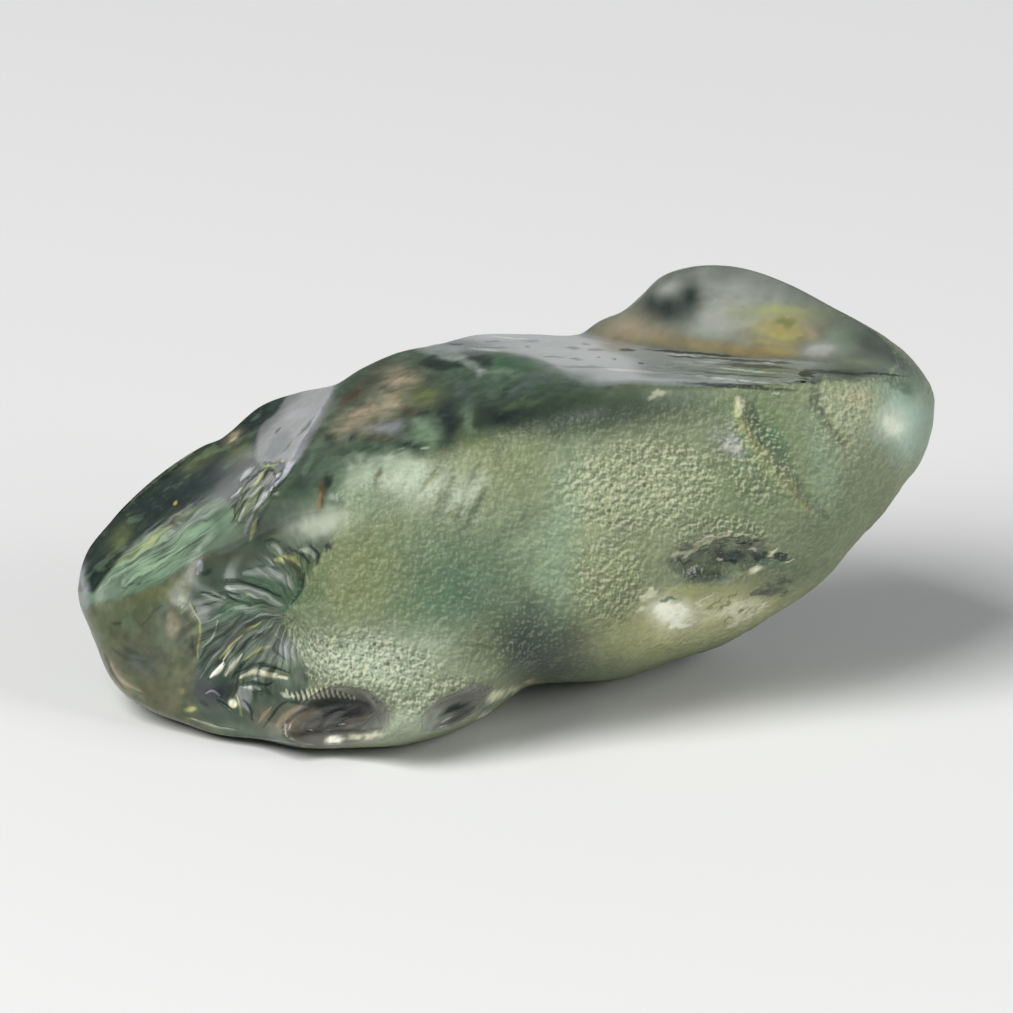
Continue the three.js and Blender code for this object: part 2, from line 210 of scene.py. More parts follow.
# Clouds of colour in the broad side that fade out gently, painted in this order: colour, centre,
# half-widths, turn in degrees, and strength. The highlight, glint and lavender clouds and the golden light
# are painted light, and the deep green and valley clouds are partly painted shade.
CLOUDS = (
    # the frosted skin
    ("teal", (7.0, 2.95), (1.9, 1.35), 10, 1.0),
    ("teal", (6.3, 3.7), (1.3, 0.8), 30, 0.4),
    ("olive", (5.2, 3.15), (1.4, 1.0), 45, 0.7),
    ("moss", (4.35, 2.7), (0.45, 0.9), 0, 0.6),
    ("valley", (4.5, 2.6), (0.35, 0.8), 0, 0.3),
    ("olive", (7.6, 1.95), (0.5, 0.5), 60, 0.6),
    ("olive", (8.1, 5.35), (0.9, 0.8), 0, 0.45),
    ("olive", (9.9, 3.3), (0.8, 1.1), -10, 0.5),
    ("valley", (8.65, 2.05), (1.05, 1.15), 60, 1.0),
    ("valley", (8.6, 1.95), (0.6, 0.8), 60, 0.7),
    ("valley", (9.3, 1.6), (1.1, 0.35), 0, 0.5),
    ("deep", (8.65, 1.95), (0.8, 0.9), 60, 0.9),
    ("sea", (9.05, 4.3), (0.45, 1.9), -6, 0.8),
    ("sea", (8.2, 4.0), (0.7, 1.3), 0, 0.3),
    ("sand", (10.5, 4.9), (1.7, 0.95), 5, 0.85),
    ("sand", (9.8, 3.9), (0.4, 1.4), -8, 0.6),
    ("pale", (5.15, 1.65), (1.7, 0.6), -8, 0.75),
    ("pale", (6.1, 1.9), (1.0, 0.5), 0, 0.4),
    ("pale", (6.2, 0.5), (1.0, 0.35), 15, 0.8),
    ("sea", (5.3, 4.9), (0.6, 0.7), 0, 0.7),
    ("pale", (6.2, 4.95), (0.8, 0.5), -15, 0.85),
    ("sand", (7.2, 5.0), (0.6, 0.6), 10, 0.8),
    ("valley", (8.3, 6.28), (1.8, 0.5), 0, 1.0),
    ("deep", (8.6, 6.2), (1.6, 0.3), 0, 0.35),
    ("valley", (9.5, 6.28), (1.6, 0.45), 0, 1.0),
    ("valley", (11.2, 6.35), (1.6, 0.3), 0, 0.6),
    ("valley", (10.2, 6.3), (1.3, 0.3), 4, 0.6),
    ("moss", (12.8, 6.0), (1.0, 0.9), -30, 0.8),
    ("moss", (12.8, 4.7), (1.2, 0.8), 0, 0.6),
    ("moss", (12.0, 5.0), (0.6, 1.2), 0, 0.3),
    ("moss", (13.9, 3.9), (1.5, 0.5), 48, 0.5),
    ("sea", (13.9, 5.3), (0.35, 1.1), 10, 0.7),
    ("sand", (14.4, 6.35), (0.62, 0.7), 10, 0.7),
    ("lavender", (12.1, 5.85), (0.35, 0.3), 0, 0.3),
    ("lavender", (12.3, 5.55), (0.25, 0.2), 0, 0.3),
    ("mint", (15.4, 6.25), (0.5, 0.95), 12, 0.8),
    ("mint", (15.3, 6.1), (0.6, 0.6), 20, 0.5),
    ("bright", (15.18, 6.1), (0.34, 0.36), 20, 0.5),
    ("teal", (15.6, 6.95), (0.35, 0.4), 0, 0.6),
    # the golden light below the hollow, painted, with a painted highlight at its core
    ("khaki", (10.6, 2.2), (1.2, 0.5), 10, 0.6),
    ("khaki", (11.9, 2.45), (1.7, 0.5), 13, 1.0),
    ("cream", (11.5, 2.5), (0.9, 0.3), 10, 0.45),
    ("valley", (13.2, 3.2), (0.7, 0.3), 25, 0.5),
    ("cream", (11.12, 2.55), (0.6, 0.4), -20, 0.7),
    ("bright", (11.1, 2.54), (0.4, 0.24), -16, 0.9),
    ("cream", (12.35, 2.6), (0.65, 0.24), 12, 0.5),
    # the shoulder
    ("teal", (8.1, 6.9), (1.1, 0.32), 0, 0.7),
    ("teal", (4.9, 6.2), (0.5, 0.5), 55, 0.5),
    ("deep", (5.5, 7.0), (0.7, 0.25), 35, 0.5),
    ("beige", (5.55, 6.3), (0.85, 0.38), 22, 0.6),
    ("beige", (6.0, 6.92), (0.45, 0.28), 0, 0.7),
    ("beige", (5.0, 6.02), (0.35, 0.2), 30, 0.6),
    ("cream", (5.88, 6.45), (0.24, 0.16), 0, 0.3),
    ("brown", (5.12, 6.6), (0.5, 0.14), 38, 0.75),
    ("brown", (6.19, 6.25), (0.16, 0.16), -40, 0.9),
    ("olive", (6.5, 6.57), (0.3, 0.28), 0, 0.8),
    ("deep", (6.5, 6.24), (0.22, 0.14), 0, 0.7),
    ("brown", (5.6, 5.83), (0.5, 0.09), 0, 0.6),
    ("lavender", (5.72, 6.0), (0.38, 0.11), 0, 0.7),
    ("sea", (6.48, 5.88), (0.3, 0.28), -30, 0.9),
    ("teal", (5.6, 5.55), (0.9, 0.22), 8, 0.7),
    ("deep", (6.1, 5.62), (0.35, 0.1), -12, 0.6),
    ("deep", (6.92, 6.1), (0.24, 0.5), 5, 1.0),
    ("sea", (7.28, 6.3), (0.12, 0.35), 0, 0.35),
    ("olive", (7.35, 5.75), (0.4, 0.2), -40, 0.5),
    ("deep", (7.91, 6.22), (0.6, 0.17), 0, 0.8),
    ("deep", (4.75, 5.75), (0.18, 0.12), 0, 0.5),
    ("deep", (5.14, 5.79), (0.08, 0.12), 0, 0.7),
    ("deep", (4.25, 5.05), (0.4, 0.2), 60, 0.5),
    ("lavender", (4.25, 6.3), (0.6, 0.14), 18, 0.5),
    # the hump
    ("mist", (12.2, 8.3), (1.2, 0.65), -5, 0.8),
    ("sand", (12.1, 8.0), (0.9, 0.4), -5, 0.6),
    ("mist", (11.9, 8.05), (0.6, 0.4), -5, 0.8),
    ("mist", (12.3, 8.64), (0.3, 0.16), 0, 0.5),
    ("beige", (10.2, 7.86), (0.7, 0.3), 25, 0.8),
    ("beige", (10.75, 7.75), (0.6, 0.2), -5, 0.7),
    ("deep", (11.02, 8.18), (0.55, 0.3), -5, 1.0),
    ("deep", (11.44, 8.38), (0.3, 0.4), -15, 1.0),
    ("deep", (10.7, 8.35), (0.2, 0.3), 20, 0.8),
    ("mist", (11.06, 8.6), (0.2, 0.15), 20, 0.6),
    ("khaki", (13.1, 8.15), (0.9, 0.18), -4, 0.7),
    ("gold", (13.15, 7.78), (0.65, 0.22), -3, 0.9),
    ("gold", (13.15, 7.95), (0.4, 0.1), 5, 0.6),
    ("moss", (13.15, 7.94), (0.26, 0.05), 5, 0.5),
    ("ochre", (11.2, 7.56), (1.2, 0.14), -6, 0.7),
    ("ochre", (12.5, 7.44), (1.1, 0.15), -4, 1.0),
    ("gold", (13.2, 7.42), (0.4, 0.14), 0, 0.6),
    ("beige", (13.65, 7.78), (0.14, 0.18), 0, 0.8),
    ("mist", (13.85, 7.45), (0.42, 0.2), 10, 0.95),
    ("sea", (14.3, 7.65), (0.4, 0.2), 0, 0.6),
    ("sand", (14.6, 7.22), (0.5, 0.09), -8, 0.5),
    ("deep", (14.9, 7.55), (0.7, 0.3), -32, 0.6),
    # the shelf, and the far ends of the shelf and the hump
    ("teal", (12.4, 7.04), (1.5, 0.15), -3, 0.75),
    ("slate", (7.7, 7.54), (1.1, 0.12), 0, 0.4),
    ("hump", (14.7, 6.98), (1.0, 0.14), -3, 0.9),
    ("valley", (14.3, 7.02), (0.6, 0.08), -3, 0.6),
    ("violet", (15.35, 7.2), (0.3, 0.14), -35, 0.6),
    # the upper left
    ("deep", (2.25, 5.0), (1.1, 0.5), 38, 1.0),
    ("deep", (1.2, 4.35), (0.9, 0.35), 45, 0.9),
    ("deep", (3.3, 6.15), (0.45, 0.16), 30, 0.8),
    ("deep", (0.4, 3.5), (0.25, 0.4), -20, 0.5),
    ("olive", (2.3, 5.42), (0.5, 0.12), 30, 0.4),
    ("olive", (0.75, 3.95), (0.35, 0.2), 50, 0.5),
    ("olive", (3.0, 5.55), (0.3, 0.16), 30, 0.4),
    ("khaki", (1.35, 3.86), (0.6, 0.09), 36, 0.6),
    ("khaki", (2.1, 4.45), (0.5, 0.05), 24, 0.3),
    ("blade", (1.9, 4.1), (0.8, 0.12), 36, 0.4),
    ("teal", (1.6, 3.35), (1.0, 0.12), 33, 0.4),
    ("teal", (2.6, 4.05), (0.35, 0.25), 33, 0.5),
    ("brown", (1.76, 4.18), (0.08, 0.06), 0, 0.9),
    ("beige", (2.88, 5.83), (0.2, 0.07), 38, 0.8),
    # the grey face at the lower left
    ("olive", (1.3, 2.8), (0.9, 0.2), 15, 0.5),
    ("teal", (0.9, 2.5), (0.6, 0.3), 15, 0.3),
    ("slate", (1.9, 2.2), (0.35, 0.7), 5, 0.25),
    ("deep", (1.2, 2.0), (0.9, 0.9), 0, 0.35),
    ("brown", (1.5, 1.0), (0.8, 0.25), -28, 0.2),
    ("beige", (0.75, 1.35), (0.45, 0.1), -55, 0.6),
    ("deep", (1.2, 1.7), (0.5, 0.3), 0, 0.25),
    ("lavender", (0.12, 3.0), (0.1, 0.5), 5, 0.5),
    # the broken zone
    ("brown", (2.9, 3.6), (0.55, 0.22), 8, 0.4),
    ("deep", (3.55, 4.05), (0.4, 0.22), 20, 0.7),
    ("olive", (3.75, 3.95), (0.16, 0.1), 0, 0.5),
    ("bright", (4.5, 4.2), (0.55, 0.24), 8, 0.6),
    ("pale", (4.75, 4.25), (0.4, 0.26), 0, 0.7),
    ("teal", (3.55, 2.95), (0.7, 0.4), -10, 0.7),
    ("teal", (3.0, 2.6), (0.5, 0.35), -30, 0.5),
    ("lavender", (3.87, 1.87), (0.26, 0.2), -20, 0.7),
    ("valley", (4.3, 1.4), (0.35, 0.18), -20, 0.8),
    ("violet", (2.52, 1.08), (0.4, 0.28), 0, 0.95),
    ("deep", (3.0, 1.1), (0.7, 0.16), 0, 0.5),
    ("violet", (4.95, 0.75), (0.9, 0.3), 5, 0.9),
    ("beige", (4.0, 0.5), (0.45, 0.3), 25, 0.6),
    ("beige", (3.45, 0.65), (0.25, 0.2), 0, 0.35),
    ("deep", (2.4, 0.55), (0.6, 0.12), -15, 0.5),
    ("deep", (4.3, 0.32), (0.9, 0.05), 3, 0.7),
    ("sea", (3.2, 0.38), (0.9, 0.1), -8, 0.4),
)

# Marks with firmer edges, given in the same way. The highlight, glint and lavender marks among them are
# painted light, and the deep green and valley marks are partly painted shade.
MARKS = (
    # the frosted skin
    ("pale", (6.15, 5.12), (0.95, 0.46), -12, 0.75),
    ("pale", (5.25, 5.15), (0.55, 0.42), 10, 0.7),
    ("pale", (7.2, 4.85), (0.6, 0.4), 20, 0.45),
    ("brown", (5.62, 5.1), (0.07, 0.22), -12, 0.8),
    ("brown", (5.56, 4.93), (0.05, 0.12), -15, 0.4),
    # the shoulder
    ("deep", (6.78, 7.18), (0.6, 0.14), -9, 0.9),
    # the shelf colour here is painted reflection, silver along the top
    ("shelf", (7.0, 7.36), (0.8, 0.09), -4, 0.6),
    ("shelf", (7.33, 7.14), (0.38, 0.1), -30, 0.5),
    ("green", (8.15, 7.2), (0.75, 0.18), -5, 0.95),
    ("deep", (7.5, 7.27), (0.4, 0.11), -10, 0.9),
    ("shelf", (7.54, 7.01), (0.16, 0.1), 0, 0.7),
    ("sea", (7.95, 6.98), (0.6, 0.07), -4, 0.4),
    ("slate", (8.6, 6.88), (0.5, 0.12), -10, 0.5),
    ("deep", (7.9, 6.62), (0.28, 0.13), 20, 0.6),
    ("slate", (8.3, 6.72), (0.3, 0.12), 10, 0.4),
    ("deep", (7.95, 6.2), (0.45, 0.15), 0, 0.8),
    ("deep", (6.93, 6.15), (0.18, 0.42), 4, 0.8),
    ("slate", (7.15, 6.7), (0.16, 0.3), 20, 0.5),
    ("moss", (8.3, 6.42), (0.45, 0.1), 8, 0.4),
    ("sea", (6.45, 5.93), (0.3, 0.2), -35, 0.7),
    ("sea", (7.3, 6.05), (0.13, 0.28), 12, 0.5),
    ("brown", (6.2, 6.27), (0.16, 0.14), -40, 0.85),
    ("ochre", (5.98, 6.62), (0.14, 0.1), -30, 0.5),
    ("beige", (5.88, 6.47), (0.26, 0.15), 0, 0.8),
    ("beige", (5.35, 6.27), (0.3, 0.14), 25, 0.6),
    ("beige", (6.1, 6.95), (0.36, 0.14), 15, 0.5),
    ("deep", (5.75, 6.74), (0.22, 0.08), 20, 0.6),
    ("olive", (6.5, 6.6), (0.22, 0.2), 0, 0.7),
    ("deep", (6.52, 6.27), (0.2, 0.12), 20, 0.7),
    ("brown", (5.65, 5.82), (0.46, 0.08), 0, 0.6),
    ("lavender", (5.8, 6.02), (0.26, 0.09), 0, 0.8),
    ("deep", (5.14, 5.8), (0.07, 0.11), 0, 0.9),
    ("deep", (4.74, 5.78), (0.16, 0.12), 30, 0.7),
    ("brown", (5.08, 6.58), (0.36, 0.12), 42, 0.6),
    ("deep", (6.2, 5.66), (0.28, 0.08), -14, 0.9),
    ("deep", (5.5, 5.62), (0.4, 0.07), 10, 0.5),
    ("teal", (7.25, 5.86), (0.2, 0.14), -50, 0.4),
    ("brown", (4.56, 4.76), (0.1, 0.4), -8, 0.95),
    ("ochre", (4.52, 4.62), (0.05, 0.2), -6, 0.6),
    ("deep", (4.66, 4.97), (0.09, 0.22), -12, 0.9),
    ("sea", (4.35, 5.35), (0.1, 0.3), -18, 0.4),
    ("teal", (4.9, 5.2), (0.16, 0.4), 0, 0.6),
    # the hump
    ("khaki", (13.15, 8.2), (0.5, 0.08), -3, 0.5),
    ("olive", (13.2, 7.96), (0.3, 0.07), 6, 0.8),
    ("khaki", (13.2, 7.74), (0.5, 0.07), -3, 0.5),
    ("gold", (12.9, 7.6), (0.6, 0.06), -4, 0.5),
    ("sand", (12.5, 8.12), (0.5, 0.08), -8, 0.5),
    ("ochre", (12.6, 7.43), (0.6, 0.07), -4, 0.6),
    ("mist", (13.85, 7.44), (0.34, 0.13), 8, 0.7),
    # the left facet
    ("slate", (3.78, 5.72), (0.34, 0.22), 50, 0.8),
    ("slate", (3.6, 5.5), (0.18, 0.12), 20, 0.6),
    ("olive", (4.25, 5.99), (0.16, 0.05), 50, 0.8),
    ("deep", (3.62, 5.3), (0.16, 0.06), 20, 0.8),
    ("deep", (3.5, 5.14), (0.12, 0.05), 57, 0.8),
    # the end face and the silky band
    ("gold", (1.82, 4.53), (0.07, 0.06), 20, 0.9),
    ("brown", (1.76, 4.18), (0.07, 0.06), 0, 0.9),
    ("beige", (2.9, 5.85), (0.18, 0.06), 40, 0.8),
    ("lavender", (2.33, 3.48), (0.09, 0.13), 10, 0.95),
    ("lavender", (2.28, 3.34), (0.05, 0.08), 0, 0.8),
    ("deep", (2.47, 3.33), (0.14, 0.08), 10, 0.7),
    ("deep", (2.4, 4.86), (0.6, 0.26), 42, 0.9),
    # the grey face
    ("slate", (1.62, 2.6), (0.2, 0.12), 60, 0.5),
    ("pale", (1.95, 2.78), (0.1, 0.07), -40, 0.6),
    ("beige", (1.78, 2.3), (0.14, 0.36), 12, 0.5),
    ("deep", (0.95, 1.85), (0.3, 0.07), -30, 0.5),
    ("slate", (1.2, 1.55), (0.34, 0.2), -20, 0.4),
    ("olive", (1.9, 1.6), (0.2, 0.3), 0, 0.4),
    ("deep", (0.72, 2.35), (0.12, 0.05), 0, 0.7),
    ("deep", (2.2, 1.9), (0.05, 0.3), 8, 0.5),
    # the broken zone
    ("cream", (2.9, 0.87), (0.14, 0.1), -50, 0.95),
    ("khaki", (2.15, 0.75), (0.1, 0.07), 0, 0.95),
    ("pale", (3.92, 1.02), (0.2, 0.06), -12, 0.9),
    ("bright", (4.8, 0.2), (0.26, 0.08), 6, 1.0),
    ("cream", (5.2, 0.27), (0.2, 0.06), 20, 0.9),
    ("cream", (5.55, 0.31), (0.3, 0.05), -4, 0.8),
    ("deep", (2.36, 0.85), (0.14, 0.07), -40, 0.7),
    ("ochre", (1.95, 1.12), (0.08, 0.07), 0, 0.7),
    # the chip below the middle
    ("deep", (7.05, 0.74), (0.48, 0.1), 26, 0.85),
    ("slate", (7.62, 0.8), (0.2, 0.09), 35, 0.8),
    ("bright", (7.58, 0.64), (0.16, 0.05), 35, 0.6),
    ("cream", (7.82, 1.0), (0.26, 0.08), 30, 0.8),
    ("cream", (8.15, 1.12), (0.16, 0.05), 20, 0.7),
    ("beige", (8.5, 1.22), (0.3, 0.05), 5, 0.7),
    # the golden light below the hollow, painted, with painted highlights
    ("khaki", (11.35, 2.96), (0.5, 0.12), 8, 0.7),
    ("bright", (11.1, 2.52), (0.4, 0.2), -8, 0.8),
    ("valley", (12.95, 2.94), (0.36, 0.12), 18, 0.8),
    ("khaki", (12.95, 2.72), (0.3, 0.07), 30, 0.6),
    ("cream", (12.4, 2.62), (0.42, 0.2), 14, 0.5),
    # the hollow
    ("valley", (11.75, 3.22), (0.62, 0.13), 8, 0.9),
    ("slate", (12.1, 3.2), (0.3, 0.07), 10, 0.5),
    ("olive", (11.45, 3.43), (0.32, 0.1), 12, 0.7),
    ("teal", (12.9, 3.45), (0.5, 0.12), -6, 0.6),
    ("cream", (12.63, 3.35), (0.18, 0.08), 14, 0.9),
    # the groove and the pale lobe
    ("cream", (12.33, 6.32), (0.1, 0.2), 12, 0.6),
    ("khaki", (12.52, 5.9), (0.09, 0.16), 25, 0.5),
    ("khaki", (12.85, 5.5), (0.08, 0.22), 38, 0.6),
    ("khaki", (13.3, 4.95), (0.08, 0.26), 38, 0.5),
    ("valley", (12.62, 6.2), (0.09, 0.3), 20, 0.6),
    ("teal", (13.0, 5.75), (0.2, 0.5), 35, 0.6),
    ("ochre", (12.39, 5.98), (0.08, 0.07), 0, 0.8),
    ("mist", (12.2, 5.68), (0.16, 0.2), -35, 0.7),
    ("sand", (14.4, 6.35), (0.62, 0.62), 0, 0.75),
    ("valley", (13.8, 6.86), (0.2, 0.1), 10, 0.5),
    ("brown", (13.84, 6.3), (0.06, 0.14), 15, 0.6),
    ("brown", (14.02, 6.04), (0.1, 0.05), -45, 0.5),
    ("brown", (14.3, 5.76), (0.1, 0.05), -45, 0.4),
    ("beige", (14.5, 6.55), (0.3, 0.25), 0, 0.4),
    ("bright", (15.2, 6.02), (0.24, 0.2), 30, 0.45),
    ("teal", (15.3, 6.8), (0.4, 0.12), -25, 0.6),
    ("brown", (13.9, 3.49), (0.06, 0.05), 0, 0.9),
)

# Fine marks of the glossy shelf and the hollow: colour, strength, turn in degrees, how far their edges
# wander, and the centre and half-widths of each. The highlight and glint marks among them are painted light.
LEVEL_WANDER = (0.14, 0.05, 0)
RAGGED_WANDER = (0.34, 0.26, 0)
FINE_MARKS = (
    ("slate", 0.85, -1, LEVEL_WANDER, (
        ((7.05, 7.56), (0.22, 0.025)), ((7.85, 7.49), (0.36, 0.025)), ((8.45, 7.63), (0.24, 0.04)),
        ((7.75, 7.61), (0.22, 0.022)), ((9.5, 7.12), (0.62, 0.03)), ((8.9, 7.33), (0.3, 0.02)),
    )),
    ("deep", 0.8, -4, LEVEL_WANDER, (
        ((9.24, 7.5), (0.2, 0.04)), ((9.68, 7.46), (0.2, 0.035)), ((9.31, 7.28), (0.14, 0.035)),
        ((10.25, 7.44), (0.2, 0.035)), ((8.4, 7.52), (0.06, 0.025)), ((9.72, 7.3), (0.05, 0.022)),
        ((9.5, 7.58), (0.09, 0.022)), ((10.0, 7.26), (0.05, 0.022)), ((11.5, 7.38), (1.2, 0.035)),
        ((12.3, 7.26), (1.1, 0.03)), ((11.4, 7.3), (0.5, 0.022)), ((12.6, 7.14), (0.95, 0.05)),
        ((13.1, 7.2), (0.3, 0.03)), ((12.4, 6.97), (1.1, 0.024)), ((12.35, 6.75), (1.4, 0.055)),
        ((14.1, 7.02), (0.7, 0.045)), ((15.0, 6.98), (0.6, 0.03)), ((10.5, 7.2), (0.07, 0.02)),
    )),
    ("bright", 0.45, -5, LEVEL_WANDER, (
        ((7.6, 7.45), (0.4, 0.022)), ((8.1, 7.68), (0.5, 0.018)), ((10.4, 7.05), (0.8, 0.03)),
        ((11.9, 7.2), (0.4, 0.02)), ((12.5, 7.05), (0.95, 0.026)), ((12.93, 7.19), (0.16, 0.025)),
        ((12.2, 6.88), (1.3, 0.022)), ((11.3, 7.34), (0.4, 0.016)),
    )),
    ("teal", 0.8, -6, RAGGED_WANDER, (
        ((11.05, 2.8), (0.24, 0.07)), ((12.85, 3.5), (0.3, 0.06)),
    )),
    ("deep", 0.65, 6, RAGGED_WANDER, (
        ((13.05, 3.09), (0.4, 0.05)), ((12.75, 2.93), (0.3, 0.06)), ((13.2, 2.9), (0.2, 0.03)),
    )),
    ("bright", 1.0, -10, RAGGED_WANDER, (
        ((11.1, 2.56), (0.4, 0.17)), ((11.2, 2.33), (0.26, 0.11)),
    )),
    ("cream", 0.9, 38, RAGGED_WANDER, (
        ((12.0, 2.55), (0.2, 0.1)), ((12.3, 2.68), (0.2, 0.09)), ((12.52, 2.5), (0.2, 0.09)),
        ((12.78, 2.66), (0.16, 0.08)), ((12.25, 2.38), (0.18, 0.07)), ((10.66, 2.86), (0.18, 0.1)),
        ((10.5, 2.6), (0.1, 0.06)), ((11.72, 2.78), (0.3, 0.05)),
    )),
    ("olive", 0.8, 42, RAGGED_WANDER, (
        ((12.15, 2.78), (0.36, 0.035)), ((11.9, 2.72), (0.3, 0.03)), ((12.42, 2.58), (0.2, 0.03)),
        ((12.12, 2.42), (0.16, 0.03)), ((12.65, 2.58), (0.16, 0.03)),
    )),
    ("deep", 0.9, 50, LEVEL_WANDER, (
        ((4.28, 6.03), (0.26, 0.035)), ((4.2, 5.93), (0.18, 0.03)), ((3.72, 5.95), (0.1, 0.035)),
        ((3.93, 5.66), (0.22, 0.022)),
    )),
    ("bright", 0.35, 10, LEVEL_WANDER, (
        ((6.5, 5.6), (0.14, 0.03)), ((6.05, 5.6), (0.11, 0.025)),
        ((3.84, 5.38), (0.07, 0.03)),
    )),
    ("deep", 1.0, -2, RAGGED_WANDER, (
        ((12.15, 3.6), (0.38, 0.17)), ((12.7, 3.62), (0.22, 0.12)), ((13.15, 3.58), (0.36, 0.06)),
        ((12.5, 3.84), (0.3, 0.05)), ((13.6, 6.97), (0.2, 0.08)), ((13.5, 6.84), (0.12, 0.05)),
        ((11.3, 3.5), (0.3, 0.05)),
    )),
    ("cream", 0.9, 22, RAGGED_WANDER, (
        ((11.35, 3.68), (0.36, 0.075)), ((11.72, 3.88), (0.34, 0.08)), ((12.05, 4.02), (0.2, 0.07)),
        ((13.0, 3.68), (0.16, 0.035)), ((12.6, 3.72), (0.12, 0.035)), ((13.3, 3.52), (0.12, 0.03)),
        ((12.38, 3.97), (0.16, 0.035)), ((11.95, 3.56), (0.05, 0.05)),
    )),
    ("cream", 0.45, 22, RAGGED_WANDER, (
        ((10.85, 6.63), (0.24, 0.1)), ((12.34, 6.42), (0.09, 0.14)), ((13.05, 6.62), (0.1, 0.035)),
    )),
)
